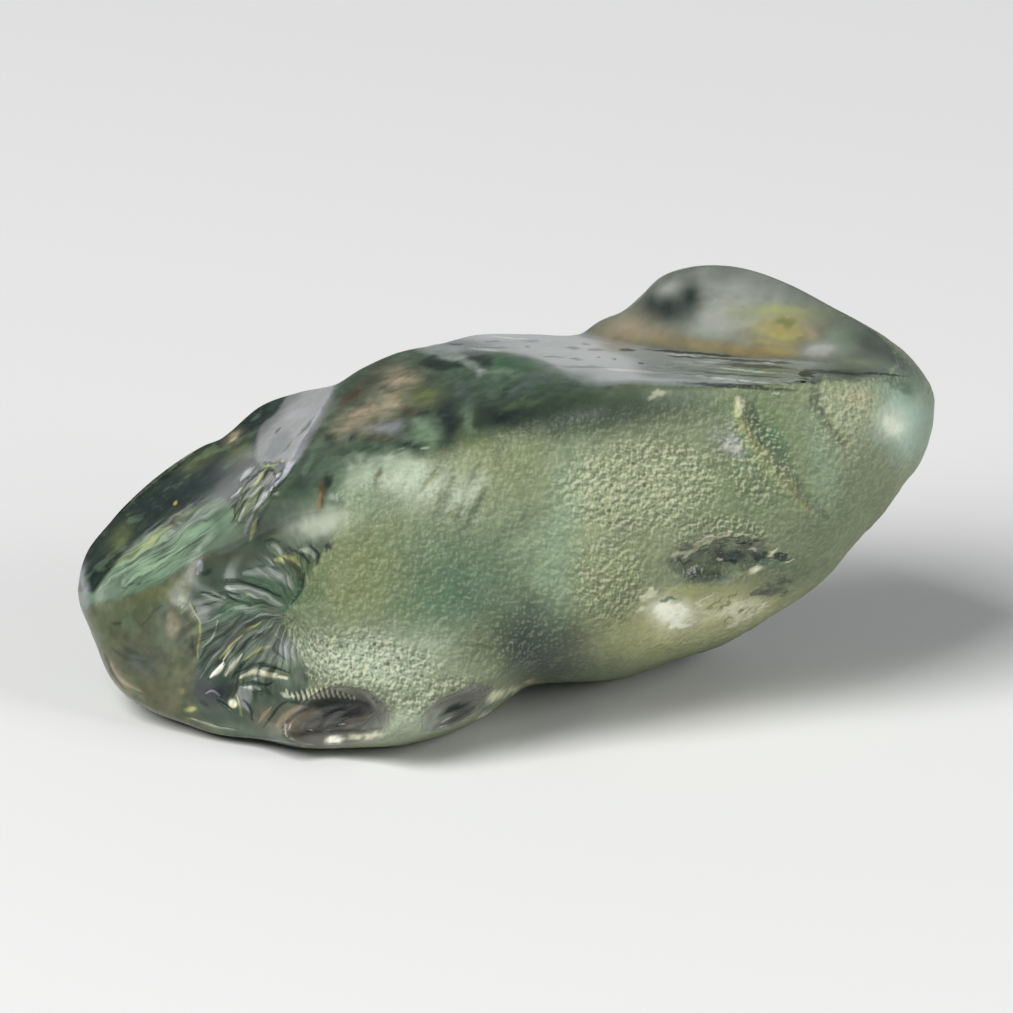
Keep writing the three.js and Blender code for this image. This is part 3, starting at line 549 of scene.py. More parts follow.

# Strokes of the breaks and of the glossy faces: colour, half-width, height, strength, and points. The pale
# strokes that stand up mostly carry painted highlights, and the dark sunken ones painted shade.
STROKES = (
    # the slanted folds of the frosted skin
    ("valley", 0.07, -0.05, 0.6, ((7.64, 4.85), (7.44, 4.5), (7.26, 4.13))),
    ("valley", 0.06, -0.05, 0.6, ((7.36, 4.75), (7.22, 4.52), (7.08, 4.3))),
    ("valley", 0.06, -0.05, 0.5, ((7.06, 5.08), (6.88, 4.8), (6.7, 4.55))),
    ("valley", 0.055, -0.05, 0.45, ((6.94, 4.73), (6.8, 4.5), (6.66, 4.3))),
    ("valley", 0.055, -0.04, 0.4, ((7.5, 5.34), (7.4, 5.1), (7.22, 4.9))),
    ("olive", 0.05, -0.04, 0.5, ((6.7, 5.2), (6.58, 5.0), (6.4, 4.8))),
    ("pale", 0.07, 0.05, 0.7, ((7.54, 4.98), (7.38, 4.72), (7.18, 4.4))),
    ("pale", 0.07, 0.05, 0.7, ((7.26, 4.98), (7.1, 4.7), (6.94, 4.46))),
    ("pale", 0.06, 0.05, 0.6, ((7.0, 5.3), (6.82, 5.0), (6.66, 4.72))),
    # the groove and the edge of the pale lobe
    ("khaki", 0.13, 0.02, 0.35, ((12.28, 6.45), (12.38, 6.1), (12.8, 5.4), (13.25, 4.85), (13.7, 4.4))),
    ("valley", 0.16, -0.03, 0.4, ((12.5, 6.42), (12.6, 6.0), (13.08, 5.3), (13.5, 4.75), (14.0, 4.3))),
    ("brown", 0.04, -0.01, 0.45, ((12.42, 6.2), (12.52, 5.85), (12.78, 5.52))),
    ("brown", 0.04, -0.01, 0.35, ((13.02, 5.2), (13.38, 4.75), (13.7, 4.42))),
    ("valley", 0.12, -0.04, 0.4, ((13.72, 6.85), (13.76, 6.45), (13.94, 6.08), (14.3, 5.68))),
    ("sand", 0.14, 0.05, 0.6, ((13.95, 6.9), (13.98, 6.5), (14.15, 6.15), (14.5, 5.8))),
    # the blades beside the pale cloud
    ("khaki", 0.08, 0.03, 0.9, ((3.7, 3.54), (4.0, 3.53), (4.17, 3.41))),
    ("pale", 0.05, 0.03, 0.8, ((3.66, 3.8), (3.78, 3.74), (3.82, 3.62))),
    ("pale", 0.06, 0.03, 0.8, ((4.14, 3.68), (4.37, 3.7), (4.5, 3.56))),
    ("deep", 0.035, -0.03, 0.9, ((3.94, 3.76), (4.2, 3.64), (4.38, 3.46))),
    ("deep", 0.04, -0.03, 0.9, ((4.34, 3.8), (4.51, 3.66), (4.47, 3.44))),
    ("deep", 0.02, -0.02, 0.9, ((4.6, 3.9), (4.68, 3.78), (4.66, 3.66))),
    ("deep", 0.018, -0.02, 0.9, ((4.7, 3.88), (4.76, 3.78), (4.76, 3.7))),
    ("valley", 0.07, -0.03, 0.9, ((3.87, 3.56), (4.12, 3.34), (4.18, 3.1))),
    ("brown", 0.025, -0.01, 0.5, ((3.95, 3.48), (4.1, 3.34), (4.14, 3.2))),
    ("deep", 0.03, -0.02, 0.8, ((3.52, 3.86), (3.66, 3.92), (3.84, 3.86))),
    # the big blades
    ("blade", 0.1, 0.04, 1.0, ((3.12, 3.28), (3.54, 3.3), (3.87, 3.18), (4.04, 3.02))),
    ("deep", 0.035, -0.035, 1.0, ((2.8, 3.15), (3.1, 3.11), (3.42, 3.0), (3.82, 2.86))),
    ("blade", 0.075, 0.04, 1.0, ((2.8, 3.02), (3.14, 2.97), (3.54, 2.83), (3.84, 2.7))),
    ("pale", 0.025, 0.02, 0.8, ((2.82, 2.98), (3.1, 2.92), (3.4, 2.8))),
    ("deep", 0.03, -0.03, 1.0, ((2.77, 2.89), (3.0, 2.78), (3.26, 2.68))),
    ("deep", 0.02, -0.02, 1.0, ((2.35, 2.92), (2.56, 2.88), (2.76, 2.8))),
    ("teal", 0.09, -0.02, 0.9, ((4.2, 3.14), (4.08, 2.87), (3.86, 2.6))),
    ("deep", 0.04, -0.03, 0.7, ((4.26, 3.3), (4.18, 3.02), (3.98, 2.74))),
    # the fan that curves down to the left
    ("blade", 0.03, 0.03, 0.8, (
        (3.84, 2.5), (3.42, 2.49), (3.1, 2.33), (2.86, 2.08), (2.53, 1.67), (2.3, 1.31),
    )),
    ("deep", 0.03, -0.03, 0.9, ((3.1, 2.5), (2.8, 2.2), (2.5, 2.0), (2.3, 1.7))),
    ("pale", 0.018, 0.02, 0.8, ((2.62, 2.4), (2.54, 2.1), (2.36, 1.9))),
    ("deep", 0.04, -0.03, 0.9, ((3.68, 2.45), (3.4, 2.42), (3.17, 2.24), (2.96, 2.04))),
    ("khaki", 0.03, 0.02, 0.9, ((3.42, 2.36), (3.14, 2.2), (2.88, 1.96), (2.66, 1.7))),
    ("brown", 0.015, -0.01, 0.7, ((3.3, 2.32), (3.05, 2.14), (2.84, 1.96))),
    ("deep", 0.022, -0.03, 0.9, ((3.14, 2.16), (2.84, 1.84), (2.6, 1.5), (2.46, 1.3))),
    ("cream", 0.03, 0.03, 0.9, ((3.08, 2.12), (2.9, 1.94), (2.72, 1.66))),
    ("bright", 0.045, 0.035, 1.0, ((2.74, 1.62), (2.64, 1.47), (2.5, 1.34))),
    ("deep", 0.035, -0.03, 0.9, ((3.48, 2.16), (3.22, 2.02), (3.02, 1.8))),
    ("deep", 0.022, -0.02, 0.9, ((3.0, 1.96), (2.84, 1.76), (2.72, 1.58))),
    ("cream", 0.035, 0.035, 0.9, ((3.1, 1.77), (2.94, 1.57), (2.76, 1.36))),
    ("deep", 0.035, -0.03, 0.9, ((3.22, 1.68), (3.04, 1.51), (2.86, 1.3))),
    ("khaki", 0.03, 0.02, 0.7, ((3.62, 1.92), (3.4, 1.86), (3.14, 1.66))),
    ("brown", 0.02, -0.01, 0.6, ((3.5, 1.82), (3.3, 1.76), (3.16, 1.62))),
    ("pale", 0.02, 0.02, 0.7, ((3.68, 2.3), (3.48, 2.24), (3.26, 2.04))),
    ("lavender", 0.02, 0.02, 0.8, ((3.7, 2.15), (3.85, 2.0), (3.9, 1.85), (4.1, 1.66))),
    ("deep", 0.025, -0.02, 0.7, ((3.75, 2.05), (3.66, 1.84), (3.9, 1.68))),
    # below the fan
    ("deep", 0.035, -0.03, 0.95, ((3.04, 1.44), (3.34, 1.58), (3.62, 1.55), (3.96, 1.44))),
    ("cream", 0.055, 0.04, 0.95, ((3.05, 1.33), (3.36, 1.45), (3.62, 1.39), (3.94, 1.33))),
    ("brown", 0.02, -0.01, 0.8, ((3.42, 1.5), (3.56, 1.47), (3.66, 1.47))),
    ("brown", 0.018, -0.01, 0.7, ((3.7, 1.36), (3.85, 1.4), (3.98, 1.38))),
    ("deep", 0.03, -0.03, 0.9, ((3.05, 1.2), (3.3, 1.24), (3.55, 1.21), (3.66, 1.27))),
    ("valley", 0.04, -0.02, 0.8, ((3.3, 1.1), (3.5, 1.1), (3.66, 0.98))),
    ("pale", 0.035, 0.02, 0.8, ((3.1, 1.14), (3.3, 1.16), (3.42, 1.12))),
    ("lavender", 0.02, 0.02, 0.7, ((2.42, 1.04), (2.54, 1.1), (2.66, 1.02))),
    ("deep", 0.03, -0.02, 0.9, ((2.62, 0.95), (2.78, 0.84), (2.92, 0.72))),
    ("khaki", 0.03, 0.02, 0.7, ((2.98, 1.02), (3.04, 0.82), (3.1, 0.62))),
    ("deep", 0.03, -0.02, 0.8, ((3.1, 0.92), (3.24, 0.74), (3.3, 0.56))),
    ("beige", 0.03, 0.02, 0.7, ((3.4, 0.5), (3.5, 0.66), (3.64, 0.8))),
    ("deep", 0.025, -0.02, 0.8, ((3.5, 0.44), (3.6, 0.6), (3.8, 0.82), (3.96, 0.9))),
    ("pale", 0.02, 0.02, 0.6, ((2.0, 0.62), (2.5, 0.45), (3.0, 0.36))),
    # the ribs of the scoop
    ("beige", 0.06, 0.012, 0.6, ((3.74, 0.46), (3.95, 0.64), (4.2, 0.8))),
    ("beige", 0.06, 0.012, 0.5, ((4.0, 0.42), (4.2, 0.58), (4.5, 0.72))),
    ("violet", 0.04, -0.015, 0.6, ((3.86, 0.42), (4.06, 0.62), (4.36, 0.78))),
    ("lavender", 0.05, 0.012, 0.35, ((4.2, 0.42), (4.4, 0.6), (4.75, 0.78), (5.1, 0.84))),
    ("deep", 0.04, -0.015, 0.4, ((4.52, 0.42), (4.7, 0.64), (5.02, 0.84))),
    ("lavender", 0.05, 0.012, 0.3, ((4.62, 0.42), (4.82, 0.62), (5.2, 0.82))),
    ("deep", 0.035, -0.015, 0.35, ((4.85, 0.42), (5.0, 0.58), (5.3, 0.74))),
    ("beige", 0.04, 0.012, 0.3, ((5.05, 0.42), (5.2, 0.54), (5.5, 0.66))),
    ("deep", 0.08, -0.01, 0.75, ((4.0, 0.88), (4.5, 0.86), (5.1, 0.92), (5.45, 0.84))),
    ("deep", 0.03, 0, 0.4, ((3.85, 0.36), (4.5, 0.31), (5.1, 0.36), (5.7, 0.4))),
    # fine marks on the grey face
    ("pale", 0.02, 0.015, 0.6, ((1.68, 2.5), (1.76, 2.35), (1.8, 2.15))),
    ("pale", 0.025, 0.02, 0.5, ((1.9, 2.7), (2.0, 2.64), (1.94, 2.54))),
    ("deep", 0.02, -0.01, 0.5, ((1.2, 2.3), (1.5, 2.6), (1.7, 2.7))),
    ("deep", 0.03, -0.01, 0.4, ((0.6, 1.9), (0.9, 1.7), (1.3, 1.6))),
    ("beige", 0.03, 0.02, 0.8, ((0.62, 1.62), (0.76, 1.36), (0.98, 1.18), (1.3, 1.04))),
    ("deep", 0.03, -0.02, 0.6, ((0.5, 1.75), (0.66, 1.4), (0.9, 1.1))),
    ("khaki", 0.02, 0.01, 0.5, ((2.12, 2.7), (2.3, 2.3), (2.26, 1.7))),
    # the ridge, the strip beside it and the hackles
    ("lavender", 0.05, 0.01, 1.0, ((4.7, 6.6), (4.4, 6.05), (4.08, 5.5), (3.9, 5.16), (3.6, 4.82))),
    ("lavender", 0.07, 0.01, 0.9, ((4.3, 5.85), (4.08, 5.5), (3.88, 5.2))),
    ("olive", 0.03, -0.02, 0.8, ((3.84, 5.42), (3.6, 5.3), (3.4, 5.32))),
    ("deep", 0.035, -0.03, 0.95, ((3.4, 5.24), (3.28, 5.1), (3.16, 4.98))),
    ("lavender", 0.05, 0.03, 0.9, ((3.26, 5.24), (3.16, 5.14), (3.06, 5.0))),
    ("deep", 0.03, -0.03, 0.9, ((3.66, 5.28), (3.54, 5.12), (3.44, 5.02))),
    ("khaki", 0.03, 0.02, 0.8, ((3.56, 5.28), (3.38, 5.02), (3.24, 4.86))),
    ("lavender", 0.035, 0.03, 0.9, ((3.78, 5.14), (3.62, 4.92), (3.46, 4.66), (3.34, 4.44))),
    ("pale", 0.025, 0.02, 0.8, ((3.42, 4.9), (3.3, 4.74), (3.18, 4.66))),
    ("deep", 0.022, -0.02, 0.9, ((3.62, 5.0), (3.46, 4.82), (3.36, 4.6))),
    ("deep", 0.02, -0.02, 0.9, ((3.3, 4.9), (3.16, 4.78), (3.06, 4.62))),
    ("pale", 0.022, 0.02, 0.8, ((3.08, 4.86), (2.98, 4.74), (2.88, 4.68))),
    ("pale", 0.022, 0.02, 0.8, ((3.24, 4.56), (3.1, 4.4), (3.0, 4.18))),
    ("deep", 0.02, -0.02, 0.7, ((3.14, 4.58), (3.0, 4.4), (2.9, 4.22))),
    ("lavender", 0.035, 0.02, 0.7, ((3.32, 4.36), (3.22, 4.2), (3.14, 4.0))),
    ("khaki", 0.04, 0.02, 0.7, ((3.4, 4.3), (3.3, 4.1), (3.24, 3.92))),
    ("deep", 0.04, -0.02, 0.6, ((3.66, 4.66), (3.48, 4.36), (3.4, 4.06))),
    ("moss", 0.06, -0.01, 0.6, ((4.0, 5.0), (3.74, 4.66), (3.58, 4.3))),
    # the wisps of the dark face, and the end of the silky band
    ("pale", 0.018, 0.02, 0.8, ((0.9, 3.26), (0.86, 3.1), (0.82, 3.0))),
    ("deep", 0.02, -0.02, 0.7, ((0.84, 3.0), (1.0, 3.06), (1.2, 3.08))),
)

# The row of small teeth over the scoop: where they stand, how many, how tall, and how far they lean.
COMB_LINE = ((3.96, 1.05), (4.1, 0.94), (4.37, 0.945), (4.74, 0.99), (5.2, 0.96))
COMB_TEETH = 13
TOOTH_HEIGHT = 0.2
TOOTH_LEAN = -0.05
TOOTH_HALF_WIDTH = 0.024
TOOTH_ROOT = 0.02
TOOTH_STRENGTH = 0.9
# the teeth are painted with a glint and a shade in turn
TOOTH_LOOKS = (("cream", 0.02), ("deep", -0.03))  # colour and height, in turn

# Where the frost sparkles with painted glints and painted shade and shows brown pits, where the faces are
# feathered and where the skin lies in folds: centre, half-widths, turn in degrees and strength.
SPARKLES = (
    ((5.4, 1.6), (1.9, 0.8), -10, 1.0),
    ((6.6, 1.0), (1.3, 0.6), 0, 0.8),
    ((10.5, 4.9), (2.0, 1.2), 5, 0.9),
    ((9.9, 3.2), (0.9, 1.2), 0, 0.7),
    ((12.0, 4.0), (1.2, 0.5), 0, 0.9),
    ((12.6, 5.4), (0.9, 1.2), 30, 0.7),
    ((14.2, 6.2), (0.8, 1.0), 0, 0.5),
    ((12.0, 2.4), (1.8, 0.6), 12, 0.8),
)
FEATHERS = (
    ((3.1, 2.0), (1.5, 1.4), 0, 0.8),
    ((1.7, 3.8), (1.7, 0.55), 35, 0.8),
    ((3.35, 4.75), (0.9, 0.4), 57, 1.0),
    ((4.9, 0.6), (1.0, 0.4), 0, 0.3),
    ((3.9, 3.4), (1.0, 0.7), 30, 0.5),
    ((12.3, 7.05), (1.9, 0.3), -3, 0.4),
    ((12.2, 3.5), (1.3, 0.5), 5, 0.5),
)
FOLDS = (
    ((6.9, 4.85), (0.95, 0.75), -20, 1.0),
    ((7.6, 5.6), (0.7, 0.5), 0, 0.6),
    ((5.9, 4.3), (0.8, 0.5), 0, 0.4),
    ((12.4, 6.2), (0.5, 0.7), 20, 0.6),
    ((13.9, 6.4), (0.5, 0.6), 0, 0.6),
)
FOLD_TURN = math.radians(58)
FOLD_FINENESS = (3.6, 1.3)  # folds per mm across and along them
FOLD_HEIGHT = 0.05
# how much lighter the folds' crests and darker their troughs are painted: painted light and shade
FOLD_SHADE = 0.45
FOCUS = (4.15, 2.54)  # where the feathering of the broken zone spreads from
FAN_BEND = 0.25  # how far its lines curve, in radians per mm
FAN_SPREAD = 1.2
SCOOP_FOCUS = (5.7, 1.05)
SCOOP_BEND = -0.5
SILK_TURN = math.radians(35)
SILK_FINENESS = 1.7
FACET_TURN = math.radians(57)
SHELF_SQUEEZE = 4
FEATHER_FINENESS = (5, 0.9)  # feathers per mm across and along them
FEATHER_HEIGHT = 0.035
WORN_FINENESS = 0.8
WORN_HEIGHT = 0.02
FROST_FINENESS = (2.4, 5)
FROST_HEIGHT = 0.012
# how much of the frost's painted glints, painted shade and pits the back gets
BACK_SPARKLE = 0.4
CLOUDY = ("bright", "pale", "cream", "mint")  # colours whose clouds let less light through
CLOUDINESS = 0.8
CLOUD_FADE = 1.4
MARK_EDGE = 1.9  # how firm the edges of marks are
STROKE_PIECES = 4
STROKE_TIP = 0.35  # width at a stroke's ends, as a share of its width halfway
STROKE_EDGE = 1.5
STROKE_RELIEF = 0.55
STROKE_DRIFT = 0.3  # how far strokes wander with the edges of patches
WARP = 0.09  # mm by which the edges of patches wander
WARP_FINENESS = 1.6
BEHIND = 1.5  # how far away from the marks of the front the back lies
FRONT_BLUR = 0.12
RESTING_MARGIN = 0.02

ZONE_BLUR = 0.12  # mm over which one face's finish turns into the next
SHOULDER_WORN = 0.8
SHOULDER_BLUR = 0.9
CUP_RIPPLE = 0.05
CUP_WAVES = (5.1, 3.3, 2.3)

# How see-through each finish is, its roughness, and how much frost grain and how much mottling it has.
FINISH_VALUES = {
    "frosted": (0.28, 0.5, 1.0, 0.0),
    "smooth_band": (0.4, 0.5, 0.08, 0.5),
    "gold_face": (0.3, 0.34, 0.3, 0.4),
    "tip_face": (0.35, 0.36, 0.1, 0.15),
    "shelf": (0.45, 0.17, 0.0, 0.1),
    "shoulder": (0.42, 0.28, 0.05, 1.0),
    "left_facet": (0.45, 0.12, 0.0, 0.4),
    "upper_left": (0.06, 0.16, 0.02, 1.0),
    "silk": (0.4, 0.3, 0.1, 0.3),
    "hackles": (0.45, 0.2, 0.0, 0.4),
    "lower_left": (0.35, 0.3, 0.1, 1.0),
    "shell_break": (0.5, 0.2, 0.0, 0.6),
    "scoop": (0.5, 0.18, 0.0, 0.4),
    "hollow": (0.45, 0.25, 0.5, 0.6),
    "hump": (0.42, 0.4, 0.1, 0.3),
    "back": (0.28, 0.4, 0.9, 0.3),
    "back_break": (0.55, 0.1, 0.05, 0.8),
}
SEE_THROUGH, ROUGH, FROST, MOTTLE = range(4)

# The material's patterns of noise: lumps per mm, how many finer layers are added, and how strong they are.
PATTERNS = {
    "grain": (7.0, 1.0, 0.5),
    "flecks": (10.5, 1.0, 0.6),
    "cloud": (1.3, 2.0, 0.55),
    "mottle": (3.6, 2.0, 0.6),
    "drift": (0.42, 2.0, 0.65),
    "vein": (1.9, 2.0, 0.65),
}
STREAK_STRETCH = (9.0, 1.1, 1.0)
STREAK_LAYERS = (1.0, 2.0, 0.65)
WAVER_LAYERS = {"Scale": 5.0, "Detail": 1.0}
PIT_SPACING = 4.6  # pits per mm, of which few are kept
PIT_RAGGEDNESS = 0.3
FLECK_HEIGHT = 0.45  # of the flecks beside the grain
# the slope that this step gives decides where the flecks get a painted highlight and where painted shade
LIGHT_STEP = (0.025, 0, -0.035)  # mm towards the light, where a second look at the flecks gives their slope

# How a pattern turns into a share or a shade: from, to, and the values there.
STEPS = {
    "grain_shade": (0.32, 0.66, 0.9, 1.07),
    "sparkly": (0, 1, 0.25, 1),
    "glint": (0.03, 0.16, 0, 0.5),
    "shadow": (-0.02, -0.16, 0, 0.55),
    "pit": (0.33, 0.27, 0, 0.75),
    "rare_pit": (0.66, 0.68, 0, 1),
    "streak_shade": (0.36, 0.64, 0.4, 1.9),
    "cloud_shade": (0.3, 0.7, 0.92, 1.08),
    "mottle_shade": (0.32, 0.68, 0.8, 1.2),
    "warm_back": (0.5, 0.62, 0, 0.75),
    "cool_back": (0.49, 0.38, 0, 0.8),
    "dark_vein": (0.52, 0.68, 0, 0.5),
    "pale_vein": (0.46, 0.3, 0, 0.22),
}

# The studio, in metres: the name, place, width and height of each light, and what the camera looks at, in mm
# right of the stone's middle and up the drawing.
LIGHTS = (
    ("key_light", (-0.16, -0.16, 0.24), (0.2, 0.2)),
    ("back_light", (0, 0.26, 0.04), (0.6, 0.065)),
    ("fill_light", (0.22, -0.12, 0.12), (0.14, 0.14)),
)
PICTURE_MIDDLE = (0.01, 4.52)
SET_FORWARD = 1.2063  # mm from the drawing's axis to the middle of the CAD model's box
FLOOR_HALF_WIDTH = 2.0
FLOOR_GAP = 0.01 * MM
FLOOR_ROUGHNESS = 0.85
NEAREST_SEEN = 0.01


def seen_as(red, green, blue):
    """The colour that a picture shows with these values of 0 to 255, as Blender counts light."""
    return tuple(((c / 255 + 0.055) / 1.055) ** 2.4 for c in (red, green, blue))


def colour(name, description, red, green, blue):
    return FloatVectorProperty(
        name=name, description=description, subtype="COLOR", size=3, min=0, max=1,
        default=seen_as(red, green, blue),
    )


def light_power(name, description, default):
    return FloatProperty(name=name, description=description, default=default, min=0, max=100, unit="POWER")


class SapphireColours(bpy.types.PropertyGroup):
    frosted: colour("Frosted skin", "Ground of the worn, frosted broad side", 130, 140, 106)
    # its pale silver-grey is partly painted reflection of the light the shelf mirrors
    shelf: colour("Shelf", "The glossy fresh face on top", 178, 184, 181)
    shoulder: colour("Shoulder", "The glossy face at the upper left of the broad side", 84, 104, 84)
    # its pale grey is partly painted reflection of the light this polished face mirrors
    left_facet: colour("Left facet", "The small glossy face left of the shoulder", 158, 160, 158)
    smooth_band: colour("Smooth band", "The smoother band under the shelf", 110, 124, 96)
    # its golden colour is partly painted light gathered in the stone below the hollow
    gold_face: colour("Gold face", "The smoother golden place below the hollow", 160, 162, 112)
    # its mint-grey is partly painted glow of light coming through the tip
    tip_face: colour("Tip", "The smooth right tip", 152, 174, 158)
    upper_left: colour("Upper left", "The dark green end face", 26, 38, 31)
    silk: colour("Silky green", "The silky green band of the left end", 122, 146, 120)
    hackles: colour("Hackles", "The splintered edge beside the ridge", 109, 118, 95)
    lower_left: colour("Lower left", "The smooth grey face at the lower left", 101, 105, 77)
    shell_break: colour("Broken zone", "The shell-like break beside the frosted skin", 88, 104, 88)
    scoop: colour("Scoops", "The small scoops along the bottom edge", 140, 136, 130)
    hollow: colour("Hollow", "The pitted hollow at the right", 112, 124, 98)
    hump: colour("Hump", "The worn hump at the upper right", 116, 124, 112)
    back: colour("Back", "The worn skin of the back", 128, 138, 118)
    back_break: colour("Back breaks", "The shell-like breaks of the back", 92, 106, 94)
    teal: colour("Teal", "Where the skin shows the blue-green inside", 83, 112, 85)
    sea: colour("Pale teal", "Light blue-green bands in the frost", 135, 161, 129)
    # dark green depths of the stone, and also painted shade in the troughs of the breaks, the gaps of the
    # teeth and the hollows
    deep: colour("Deep green", "Dark green depths", 26, 42, 38)
    # dark bands in the frost, and also painted shade: the flecks' side away from the light and the troughs of
    # folds and the groove
    valley: colour("Valley", "Dark bands under the frost", 55, 72, 53)
    blade: colour("Blades", "Pale grey-green blades of the break", 152, 162, 152)
    mist: colour("Mist", "Pale mist inside the hump", 192, 194, 188)
    slate: colour("Slate", "Grey ledges and wisps", 92, 104, 106)
    olive: colour("Olive", "Olive bands in the frost", 119, 128, 75)
    moss: colour("Moss", "Green of the right end", 102, 124, 84)
    green: colour("Green window", "Clear green under the shelf", 46, 98, 56)
    sand: colour("Sand", "Warm pale bands in the frost", 159, 168, 131)
    # pale frost, which on the raised strokes of the folds and breaks is also a painted highlight
    pale: colour("Pale frost", "Brightest frost", 168, 180, 158)
    # painted glint: cream highlights on the breaks, the teeth, the hollow's rim and the golden light, painted
    # into the colour
    cream: colour("Cream", "Cream glints in the breaks", 222, 220, 188)
    # painted highlight: the brightest glints of light on the stone, painted into its colour
    bright: colour("Highlight", "The brightest glints", 252, 254, 232)
    beige: colour("Beige clouds", "Clouds inside the shoulder", 186, 168, 138)
    khaki: colour("Khaki", "Yellow-green light in the frost", 175, 178, 113)
    brown: colour("Iron stain", "Brown iron stains", 90, 74, 50)
    ochre: colour("Ochre", "Ochre stains of the hump", 156, 138, 92)
    gold: colour("Gold", "Golden light inside the hump", 184, 166, 96)
    mint: colour("Mint glow", "Pale mint light at the right tip", 170, 198, 178)
    violet: colour("Violet", "Violet-grey shadows in the scoops", 62, 60, 72)
    # painted reflection: pale lavender glints of the light on ridges and glossy faces
    lavender: colour("Lavender", "Pale lavender glints", 176, 178, 184)
    absorption: colour("Body colour", "What light passing through the stone turns", 150, 190, 160)


class SapphireFinish(bpy.types.PropertyGroup):
    index: FloatProperty(name="Refractive index", description="Of corundum", default=1.77, min=1, max=3)
    gloss: FloatProperty(
        name="Specular level", description="Strength of the reflections, 0.5 being a clean polished face",
        default=0.2, min=0, max=1,
    )
    density: FloatProperty(
        name="Absorption density", description="How strongly the body colour builds up, per metre",
        default=300, min=0, max=2000,
    )
    grain: FloatProperty(
        name="Grain height", description="Height of the frosted skin's grain",
        default=0.048 * MM, min=0, max=0.5 * MM, unit="LENGTH", subtype="DISTANCE", precision=6,
    )
    streaks: FloatProperty(
        name="Streak height", description="Height of the fine feathering of the breaks",
        default=0.03 * MM, min=0, max=0.5 * MM, unit="LENGTH", subtype="DISTANCE", precision=6,
    )


class SapphireStudio(bpy.types.PropertyGroup):
    floor: colour("Floor", "The plain pale floor", 226, 226, 224)
    surroundings: colour("Surroundings", "The plain light all round", 110, 113, 116)
    lens_distance: FloatProperty(
        name="Camera distance", description="From the middle of the picture to the camera",
        default=0.4, min=0.05, max=5, unit="LENGTH", subtype="DISTANCE",
    )
    picture_width: FloatProperty(
        name="Picture width", description="Width of the picture at the stone",
        default=18.94 * MM, min=MM, max=1, unit="LENGTH", subtype="DISTANCE", precision=5,
    )
    key_light: light_power("Key light", "Power of the light from the left", 1.34)
    back_light: light_power("Back light", "Power of the light from behind", 0.09)
    fill_light: light_power("Fill light", "Power of the light from the right", 0.3)


def curve_through(points):
    """A smooth curve through (x, y) points, level beyond the first and the last."""
    x, y = np.array(points, float).T
    last = len(x) - 1
    here = np.arange(len(x))
    before, after = np.maximum(here - 1, 0), np.minimum(here + 1, last)
    slope = (y[after] - y[before]) / (x[after] - x[before])

    def at(value):
        value = np.clip(value, x[0], x[-1])
        i = np.clip(np.searchsorted(x, value, side="right") - 1, 0, last - 1)
        span = x[i + 1] - x[i]
        t = (value - x[i]) / span
        rest = 1 - t
        from_left = (1 + 2 * t) * y[i] + t * span * slope[i]
        from_right = (3 - 2 * t) * y[i + 1] - rest * span * slope[i + 1]
        return rest**2 * from_left + t**2 * from_right

    return at


def end_rounding(along):
    """1 halfway along and 0 at both tips."""
    return np.sqrt(np.maximum(1 - (2 * along / LENGTH - 1) ** 2, 0))


def axis_rise(along):
    return LEFT_TIP_RISE + (RIGHT_TIP_RISE - LEFT_TIP_RISE) * along / LENGTH


def edge_through(points):
    """An edge of the outline, kept as its distance from the axis over the end rounding."""
    along, rise = np.array(points, float).T
    share = curve_through(np.column_stack([along, (rise - axis_rise(along)) / end_rounding(along)]))
    return lambda place: axis_rise(place) + end_rounding(place) * share(place)


def lesser(a, b, worn):
    """The lesser of two depths, rounded over where they cross."""
    overlap = np.maximum(worn - np.abs(a - b), 0)
    return np.minimum(a, b) - overlap**2 / worn / 4


def greater(a, b, worn):
    return -lesser(-a, -b, worn)


def face_depth(face, along, rise):
    at, slope, _ = face
    return at[2] + slope[0] * (along - at[0]) + slope[1] * (rise - at[1])


def turned_place(along, rise, at, reach, turn):
    """Where a point lies in an ellipse's own axes, with 1 on its edge."""
    a, r = along - at[0], rise - at[1]
    wide = (a * math.cos(turn) + r * math.sin(turn)) / reach[0]
    high = (r * math.cos(turn) - a * math.sin(turn)) / reach[1]
    return wide, high


def cup_depth(along, rise, at, reach, turn, floor, lip):
    wide, high = turned_place(along, rise, at, reach, turn)
    return floor + (lip - floor) * (wide**2 + high**2)


def nearest_on_line(points, along, rise):
    """Distance to a line of points, and how far along it the nearest place lies, from 0 to 1."""
    nearest, progress = np.full(np.shape(along), np.inf), np.zeros(np.shape(along))
    for i, ((a0, r0), (a1, r1)) in enumerate(zip(points, points[1:])):
        share = ((along - a0) * (a1 - a0) + (rise - r0) * (r1 - r0)) / ((a1 - a0) ** 2 + (r1 - r0) ** 2)
        share = np.clip(share, 0, 1)
        distance = np.hypot(along - a0 - share * (a1 - a0), rise - r0 - share * (r1 - r0))
        closer = distance < nearest
        nearest = np.where(closer, distance, nearest)
        progress = np.where(closer, (i + share) / (len(points) - 1), progress)
    return nearest, progress


def bulge(fullness, rounding):
    return (1 - np.minimum(fullness, 1) ** rounding) ** (1 / rounding)


def wave(place, beside, each, sway, sway_each):
    """A train of waves over place that sways with beside."""
    return np.sin(each * place + sway * np.sin(sway_each * beside))


def unevenness(along, rise):
    """Two crossing trains of slow waves, so that the worn faces are never quite flat."""
    k = 2 * math.pi / LUMP_SPACING
    long = np.sin(k * (along + 0.4 * rise) + 1.4 * np.sin(k * 0.55 * rise))
    short = np.sin(k * (1.2 * rise - 0.5 * along) + 1.2 * np.sin(k * 0.45 * along + 1))
    return long * short


def soft_step(value):
    t = np.clip(value, 0, 1)
    return t * t * (3 - 2 * t)


def past(value, limit, blur=ZONE_BLUR):
    """1 where a value is past a limit and 0 where it is short of it, with a soft edge."""
    return soft_step((value - limit) / blur + 0.5)


